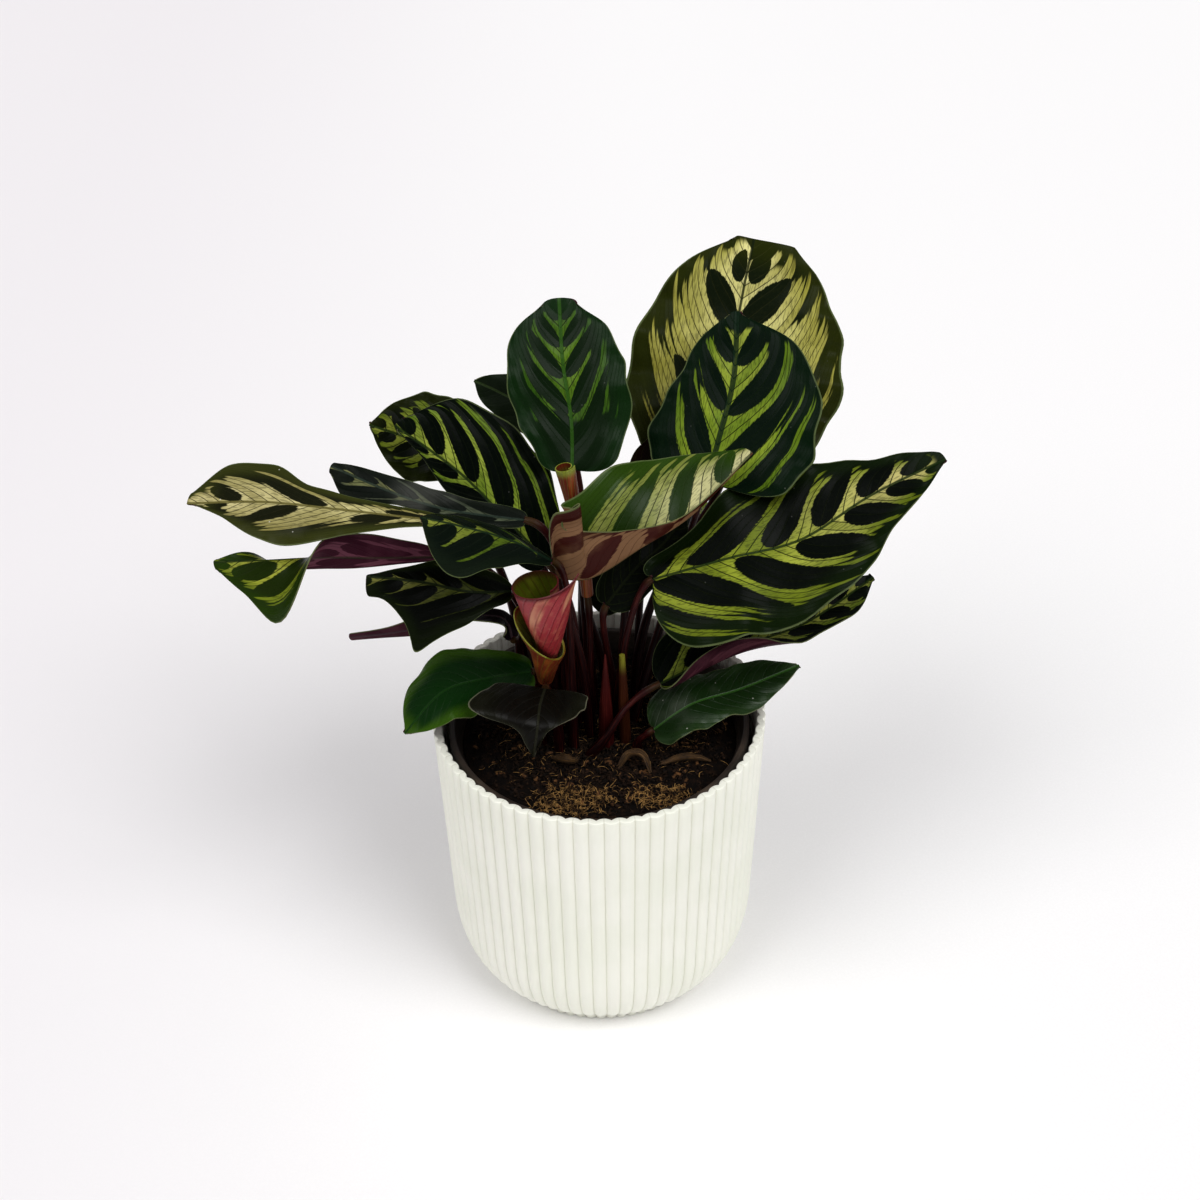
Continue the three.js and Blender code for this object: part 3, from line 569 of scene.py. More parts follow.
def soil_height(x, y):
    """The mound's height, with shallow hollows that fade out towards the wall."""
    across = min(math.hypot(x, y) / soil_edge_radius, 1)
    hollows = 0.8 * math.sin(0.11 * x + 1) * math.cos(0.13 * y) + 0.4 * math.sin(0.23 * (x + y))
    return SOIL_EDGE_Z + SOIL_MOUND * (1 - across * across) + hollows * (1 - across ** 4)


def crumbled_ring(share):
    """A ring of the peat's surface, with broad lumps and small grains."""
    ring = turned_ring(soil_edge_radius * share, 0, SOIL_POINTS)
    for p in ring:
        lumps = mathutils.noise.fractal(Vector((p[0] * 0.16, p[1] * 0.16, 3.0)), 1.0, 2.0, 4)
        grains = mathutils.noise.fractal(Vector((p[0] * 0.9, p[1] * 0.9, 8.0)), 0.8, 2.0, 3)
        p[2] = soil_height(p[0], p[1]) + LUMP_HEIGHT * lumps + GRAIN_HEIGHT * grains
    return ring


rings = [crumbled_ring(1 - k / SOIL_RINGS) for k in range(SOIL_RINGS)]
base_radius = cup_inner_radius(SOIL_BASE_Z) - CLEARANCE
low = [turned_ring(r, SOIL_BASE_Z, SOIL_POINTS) for r in (FLOOR_RING, base_radius)]
peat_mix, tree, shader, place = new_material("crumbled_peat", Roughness=0.92, Specular_IOR_Level=0.15)
coarse = texture(tree, "ShaderNodeTexNoise", place, 3.85, Detail=5.0, Roughness=0.65)
fine = texture(tree, "ShaderNodeTexNoise", place, 0.667, Detail=3.0)
colour = paint(tree, "#0B0604", [
    (coarse.step(0.45, 0.7), "#24160C"),
    (fine.step(0.62, 0.75) * 0.7, "#4A341E"),
])
dress(tree, shader, colour, None, coarse * 0.6 + fine * 0.4, 0.9)
ground = add_rings("peat_ground", low + rings, peat_mix, sharp=180)
settle(ground, "peat", "peat")
print("peat ground", len(ground.data.polygons), "faces")


# %% Scattered bits
def sprinkle(name, carrier, made, density, length, girth, seed, lift=0.5 * MM):
    """Scatters bent fibres over a carrier, so many to the square metre, and makes them one plain mesh."""
    tree = bpy.data.node_groups.new(name, "GeometryNodeTree")
    socket = tree.interface.new_socket
    socket("Carrier", in_out="INPUT", socket_type="NodeSocketGeometry")
    numbers = {"Density": density, "Length": length, "Girth": girth, "Lift": lift}
    for label in numbers:
        socket(label, in_out="INPUT", socket_type="NodeSocketFloat")
    socket("Bits", in_out="OUTPUT", socket_type="NodeSocketGeometry")
    given = node(tree, "NodeGroupInput").outputs
    points = node(tree, "GeometryNodeDistributePointsOnFaces", {
        "Mesh": given["Carrier"], "Density": given["Density"], "Seed": seed,
    })
    # A fibre is a bent line with a round section.
    half = node(tree, "ShaderNodeMath", {0: given["Length"], 1: 0.5}, operation="MULTIPLY").outputs[0]
    back = node(tree, "ShaderNodeMath", {0: half, 1: -1.0}, operation="MULTIPLY").outputs[0]
    arch = node(tree, "ShaderNodeMath", {0: half, 1: 0.45}, operation="MULTIPLY").outputs[0]
    start = node(tree, "ShaderNodeCombineXYZ", {"X": back}).outputs[0]
    middle = node(tree, "ShaderNodeCombineXYZ", {"Y": arch, "Z": arch}).outputs[0]
    end = node(tree, "ShaderNodeCombineXYZ", {"X": half}).outputs[0]
    line = node(tree, "GeometryNodeCurveQuadraticBezier", {
        "Resolution": 4, "Start": start, "Middle": middle, "End": end,
    })
    girth = {"Resolution": 4, "Radius": given["Girth"]}
    round_section = node(tree, "GeometryNodeCurvePrimitiveCircle", girth)
    fibre = node(tree, "GeometryNodeCurveToMesh", {
        "Curve": line.outputs[0], "Profile Curve": round_section.outputs[0], "Fill Caps": True,
    })
    # Each one lies at a turn and a size of its own, lifted a little off the ground.
    turn = node(tree, "FunctionNodeRandomValue", {
        0: (-0.5, -0.5, 0.0), 1: (0.5, 0.5, 6.283), "Seed": seed + 1,
    }, data_type="FLOAT_VECTOR").outputs[0]
    stretch = node(tree, "FunctionNodeRandomValue", {
        0: (0.4, 0.6, 0.4), 1: (1.3, 1.5, 1.2), "Seed": seed + 2,
    }, data_type="FLOAT_VECTOR").outputs[0]
    placed = node(tree, "GeometryNodeInstanceOnPoints", {
        "Points": points.outputs["Points"], "Instance": fibre.outputs[0],
        "Rotation": turn, "Scale": stretch,
    })
    rise = node(tree, "ShaderNodeCombineXYZ", {"Z": given["Lift"]}).outputs[0]
    raised = node(tree, "GeometryNodeTranslateInstances", {
        "Instances": placed.outputs[0], "Translation": rise, "Local Space": False,
    })
    # The export drops instances, so the tree ends in real meshes.
    real = node(tree, "GeometryNodeRealizeInstances", {"Geometry": raised.outputs[0]})
    dressed = node(tree, "GeometryNodeSetMaterial", {"Geometry": real.outputs[0], "Material": made})
    node(tree, "NodeGroupOutput", {"Bits": dressed.outputs[0]})

    # The inputs are set by identifier before the carrier is first evaluated.
    modifier = carrier.modifiers.new(name, "NODES")
    modifier.node_group = tree
    for item in tree.interface.items_tree:
        if item.name in numbers:
            modifier[item.identifier] = float(numbers[item.name])
    depsgraph = bpy.context.evaluated_depsgraph_get()
    mesh = bpy.data.meshes.new_from_object(carrier.evaluated_get(depsgraph))
    carrier.modifiers.remove(modifier)
    mesh.name = name
    piece = bpy.data.objects.new(name, mesh)
    bpy.context.collection.objects.link(piece)
    settle(piece, "peat")
    print(name, len(mesh.polygons), "faces")


# Nothing is scattered this near the nursery pot's wall.
BARE_EDGE = 2.5


def soil_patch(centre, size, cells=26):
    """A rough-edged carrier over part of the peat, which is removed after the scatter."""
    vertices, faces = [], []
    for j in range(cells + 1):
        for i in range(cells + 1):
            x = centre[0] + size[0] * (i / cells - 0.5)
            y = centre[1] + size[1] * (j / cells - 0.5)
            vertices.append((x, y, soil_height(x, y)))
    for j in range(cells):
        for i in range(cells):
            a = j * (cells + 1) + i
            x, y, _ = vertices[a]
            across = math.hypot((x - centre[0]) / size[0] * 2, (y - centre[1]) / size[1] * 2)
            ragged = 0.75 + 0.5 * mathutils.noise.noise(Vector((x * 0.3, y * 0.3, 1.0)))
            if across < ragged and math.hypot(x, y) < soil_edge_radius - BARE_EDGE:
                faces.append((a, a + 1, a + cells + 2, a + cells + 1))
    mesh = bpy.data.meshes.new("carrier")
    mesh.from_pydata((np.asarray(vertices) * MM).tolist(), [], faces)
    carrier = bpy.data.objects.new("carrier", mesh)
    bpy.context.collection.objects.link(carrier)
    return carrier


def bit_material(name, base, pale):
    """Broken plant matter: its colour changes from bit to bit along a noise."""
    made, tree, shader, place = new_material(name, Roughness=0.85, Specular_IOR_Level=0.2)
    tone = texture(tree, "ShaderNodeTexNoise", place, 2.38, Detail=3.0)
    streak = texture(tree, "ShaderNodeTexNoise", place, 0.385, Detail=1.0)
    dress(tree, shader, paint(tree, base, [(tone.step(0.38, 0.62), pale)]), None, streak, 0.2)
    return made


dark_bits = bit_material("dark_peat_fibre", "#0E0805", "#2E1E12")
tan_bits = bit_material("tan_plant_fibre", "#4A341C", "#A88450")
bark_bits = bit_material("bark_chip", "#2A1A10", "#6A4A2C")
whole = soil_patch((0, 0), (130, 130), 60)
front = soil_patch((-12, -43), (44, 22))
side = soil_patch((26, -42), (40, 18))
sprinkle("peat_crumbs", whole, dark_bits, 420000, 1.4 * MM, 0.55 * MM, 11)
sprinkle("peat_dark_fibres", whole, dark_bits, 200000, 4.5 * MM, 0.14 * MM, 12, 0.8 * MM)
sprinkle("peat_bark", whole, bark_bits, 30000, 2.6 * MM, 0.7 * MM, 13)
sprinkle("peat_pale_fibres", whole, tan_bits, 45000, 4.5 * MM, 0.12 * MM, 14, 1 * MM)
sprinkle("peat_front_fibres", front, tan_bits, 900000, 3.6 * MM, 0.13 * MM, 15, 1 * MM)
sprinkle("peat_side_fibres", side, tan_bits, 800000, 3.6 * MM, 0.13 * MM, 16, 1 * MM)
for carrier in (whole, front, side):
    bpy.data.objects.remove(carrier)

# %% [markdown]
# ## Leaf marks
# A peacock-plant leaf is dark green with pale bands between its side veins, and dark ovals that lean
# forward from the midrib. A painted image could show them, but all of it follows the veins, so the marks
# are drawn in vein coordinates: `phase` counts the ovals along the midrib, `strip` counts the veins, and
# `away` runs from the midrib to the margin. Each strip between two veins ends at a place of its own,
# which gives the bands their brushed ends. The underside shows the same marks in purple.
# A leaf's skin is thin and nearly matt: it scatters light, and only its veins raise it.

# %% Leaf marks
# Period, strip and rib_width are in millimetres. Real veins lie about 1 to 2 mm apart, too fine to show,
# so a strip is drawn about 5 mm wide. Long, short, margin, first and last are shares of the leaf's width
# or length, and a margin of -1 leaves no bands.
LOOK = dict(
    period=20, slope=1.5, offset=0.25, begin=0.0, long=0.75, short=0.6, thick=0.7,
    margin=0.78, first=-0.2, last=1.1, ragged=0.3, strip=5.2,
    band="#7E9A22", band2="#B4C24C", oval="#0A1A10", edge="#0E2414",
    cream="#B4B060", creamy=0.3, line="#141C08", rib="#1E3012", rim="#6E7A50",
    fine=0.9, rib_width=0.5, dust_and_sheen=0.0, gloss=0.05,
    under="#3E1A26", under2="#7A4A54", under_band=0.35,
)
# Whole steps that keep the counts of ovals and strips above zero.
OVALS_AHEAD = 20
STRIPS_AHEAD = 200


def leaf_coordinates(tree):
    """Away, share along, reach and run in millimetres, and the side of the midrib."""
    across, v = map_values(tree, "share")
    reach, run = map_values(tree, "size")
    u = across * 2 - 1
    reach = (reach * DECIMETRE).math("ABSOLUTE")
    return u.math("ABSOLUTE"), v, reach, run * DECIMETRE, u.math("SIGN")


def leaf_marks(tree, place, look):
    """The marks as masks from 0 to 1, and the height of the veins."""
    away, v, reach, run, side = leaf_coordinates(tree)
    # Side veins leave the midrib aslant, bend forward and wander by a millimetre or two.
    wander = texture(tree, "ShaderNodeTexNoise", place, 33.3, Detail=2.0) - 0.5
    along = run - reach * (away * away * 0.6 + 0.55) * look["slope"] + wander * 5
    phase = along * (v * 0.3 + 0.82) / look["period"] + side * look["offset"] + look["begin"]
    phase = phase + OVALS_AHEAD
    strip = along / look["strip"] + STRIPS_AHEAD
    vein = (strip.math("FRACT") - 0.5).math("ABSOLUTE") * 2
    # Each strip on each side of the midrib throws a dice of its own.
    number = strip.math("FLOOR") + side * 71
    dice = node(tree, "ShaderNodeTexWhiteNoise", {"W": number}, noise_dimensions="1D")
    dice = Value(tree, dice.outputs["Value"]) - 0.5
    teeth = {"X": strip * 0.45, "Y": reach * 1.5, "Z": side}
    teeth = node(tree, "ShaderNodeCombineXYZ", teeth).outputs[0]
    teeth = texture(tree, "ShaderNodeTexNoise", teeth, Detail=1.0)
    # Long and short ovals take turns, and each swells from the midrib and narrows to its end.
    off = (phase.math("FRACT") - 0.5).math("ABSOLUTE") * 2
    big = (phase * 0.5).math("FRACT").step(0.49, 0.51)
    length = big * (look["long"] - look["short"]) + look["short"]
    station = ((away - 0.02) / length).math("MAXIMUM", 0.0).math("MINIMUM", 1.0)
    swell = (station ** 0.8 * math.pi).math("SINE").math("MAXIMUM", 0.0) ** 0.55 * look["thick"]
    oval = (off + (teeth - 0.5) * 0.16 - swell).step(0.03, -0.03)
    # Past the bands' ragged ends the leaf is dark, and so it is before its first and after its last.
    limit = dice * look["ragged"] - vein * 0.08 + (off - 0.5) * 0.22 + look["margin"]
    margin = (away + (teeth - 0.5) * 0.1 - limit).step(-0.03, 0.03)
    ends = (v + dice * 0.1).step(look["last"], look["last"] + 0.03)
    start = (v + dice * 0.1).step(look["first"] + 0.03, look["first"])
    dark = oval
    for mask in (margin, ends, start):
        dark = dark.math("MAXIMUM", mask)
    # Thin dark lines lie on the veins, and fainter dashes between them.
    fine = vein.step(0.84, 0.95)
    cross = {"X": strip * 1.6, "Y": reach * 1.4, "Z": side}
    cross = node(tree, "ShaderNodeCombineXYZ", cross).outputs[0]
    hatch = texture(tree, "ShaderNodeTexNoise", cross, Detail=1.0).step(0.5, 0.6)
    rib = reach.step(look["rib_width"] + 0.2, look["rib_width"] - 0.15)
    return {
        "dark": dark, "fine": fine, "hatch": hatch, "rib": rib,
        "outer": away.step(0.5, 0.9).math("MAXIMUM", v.step(0.84, 0.97)),
        "rim": away.step(0.972, 0.988), "height": fine * -0.2 + rib * -0.3 + off,
        "tip_side": away.step(0.2, 0.8), "dice": dice + 0.5,
        "creamy": v.step(0.3, 0.9) * away.step(0.8, 0.2),
    }


def leaf_materials(name, look):
    """The upper and the under side of a blade."""
    look = {**LOOK, **look}
    upper, tree, shader, place = new_material(f"{name}_leaf_upper", Specular_IOR_Level=look["gloss"])
    marks = leaf_marks(tree, place, look)
    patch = texture(tree, "ShaderNodeTexNoise", place, 26.3, Detail=3.0)
    grit = texture(tree, "ShaderNodeTexNoise", place, 1.43, Detail=3.0)
    speck = texture(tree, "ShaderNodeTexVoronoi", place, 6.25)
    dark = paint(tree, look["oval"], [
        (marks["outer"], look["edge"]),
        (marks["fine"] * 0.03, look["band"]),
        (grit.step(0.5, 0.8) * 0.02, look["band"]),
    ])
    light = paint(tree, look["band2"], [
        (patch.step(0.4, 0.6) * 0.6, look["band"]),
        (marks["creamy"] * look["creamy"], look["cream"]),
        (marks["tip_side"] * 0.7, look["band"]),
        (marks["dice"] * 0.5, look["band"]),
        (marks["hatch"] * 0.4, look["line"]),
        (marks["fine"] * look["fine"], look["line"]),
    ])
    colour = paint(tree, light, [
        (marks["dark"], dark),
        (marks["rib"] * 0.9, look["rib"]),
        (marks["rim"] * 0.6, look["rim"]),
        # Grey patches and pale specks: partly dust, partly a painted sheen.
        (patch.step(0.55, 0.75) * look["dust_and_sheen"], "#A8A8A0"),
        (speck.step(0.06, 0.04) * min(look["dust_and_sheen"] * 6, 0.7), "#D8D6CE"),
    ])
    dress(tree, shader, colour, grit * 0.2 + 0.2, marks["height"] + grit * 0.08, 0.5)

    under, tree, shader, place = new_material(f"{name}_leaf_under", Specular_IOR_Level=look["gloss"])
    marks = leaf_marks(tree, place, look)
    patch = texture(tree, "ShaderNodeTexNoise", place, 16.7, Detail=3.0)
    colour = paint(tree, look["under"], [
        (marks["dark"].inverse() * look["under_band"], look["under2"]),
        (marks["fine"] * 0.35, look["under"]),
        (patch.step(0.45, 0.75) * 0.3, look["under2"]),
        (marks["rib"] * 0.6, look["rib"]),
        (marks["rim"] * 0.7, look["rim"]),
    ])
    dress(tree, shader, colour, patch * 0.2 + 0.36, marks["height"].inverse(), 0.5)
    return upper, under


print("marks are drawn in strips of", LOOK["strip"], "mm")

# %% [markdown]
# ## Blades
# Each blade is two halves that fold and curl about a midrib, with a waved margin. Cloth could be let fall
# into such shapes, but a living leaf holds its own, so a rule with a few numbers bends each one.
# The table below is the plant itself. Every leaf has its stalk's foot in the peat, its
# midrib, the way it faces and its half-widths, which hold for evenly spaced places from base to tip.
# Most rows repeat the CAD model's. A few leaves are drawn finer here: left_twisted most, and in places
# left_hanging, left_strap, upright_centre, back_right_tall and right_large.

# %% Blade surface
BLADE_THICKNESS = 0.5
OVATE = (0.6, 0.9, 1, 0.96, 0.82, 0.5, 0)
NARROWEST_BASE = 1.6
NARROWEST_TIP = 0.6
UNEVENNESS = 0.025
FLUTTER = 0.3
TIP_BULGE = 3


def pair(value):
    """A value for both, or each its own."""
    return value if isinstance(value, list) else [value, value]


def widths(value):
    """Half-widths from base to tip. A single number is the widest of an ovate leaf."""
    return value if isinstance(value, list) else [part * value for part in OVATE]


def blade_surface(leaf, rows=72, columns=32):
    """The grid of a blade's upper side, from base to tip and from left margin to right."""
    wave = leaf.get("wave", [0, 1, 0])
    sweep = leaf.get("sweep", [-3, 0])
    rounded = leaf.get("round", 0.15)
    spine = leaf["spine"]
    halves = [widths(leaf["left"]), widths(leaf["right"])]
    folds = [pair(part) for part in pair(leaf["fold"])]
    curls = [pair(part) for part in pair(leaf["curl"])]
    # A tip that is cut off broad in the table is rounded by a bulge, as the real margin is.
    bulge = min((halves[0][-1] + halves[1][-1]) / 4, TIP_BULGE)
    grid = np.zeros((rows + 1, columns + 1, 3))
    for j in range(rows + 1):
        station = j / rows
        v = (1 - math.cos(math.pi * station)) / 2
        short = 1 - min(v / rounded, 1)
        rounding = math.sqrt(1 - short * short)
        narrowest = NARROWEST_BASE if v < rounded else NARROWEST_TIP
        along = direction(spine, v)
        normal = through(leaf["face"], v)
        normal = unit(normal - along * along.dot(normal))
        side = np.cross(along, normal)
        middle = through(spine, v)
        for k in range(columns + 1):
            u = 2 * k / columns - 1
            half = 0 if u < 0 else 1
            a = abs(u)
            width = max(through(halves[half], v) * rounding, narrowest)
            width *= 1 + UNEVENNESS * math.sin(26 * v + 4 * half) * math.sin(math.pi * v)
            start = math.radians(through(folds[half], v))
            turn = math.radians(through(curls[half], v)) * a
            turn = 1e-4 if abs(turn) < 1e-4 else turn
            out = a * width * (math.sin(start + turn) - math.sin(start)) / turn
            up = a * width * (math.cos(start) - math.cos(start + turn)) / turn
            beat = wave[1] * v + wave[2] + 0.35 * half
            ripple = wave[0] * a * a * math.sin(math.pi * station) * math.sin(2 * math.pi * beat)
            flutter = math.sin(math.pi * station) * math.sin(17 * beat + 2 * half)
            ripple += FLUTTER * wave[0] * a ** 4 * flutter
            back = pair(sweep[0])[half]
            ahead = a * a * (back * rounding * (1 - v) ** 3 + sweep[1] * v ** 3)
            ahead += bulge * math.sqrt(1 - a * a) * v ** 12
            grid[j, k] = middle + math.copysign(out, u) * side + (up + ripple) * normal + ahead * along
    return grid


def leaf(name, look=None, face=([0, -0.8, 0.6], [0, -0.8, 0.6]), **shape):
    """One row of the plant's table. A leaf faces up and to the front unless it says otherwise."""
    return {"name": name, "look": look or {}, "face": face, **shape}


print("an ovate leaf's half-widths as shares of its widest", OVATE)

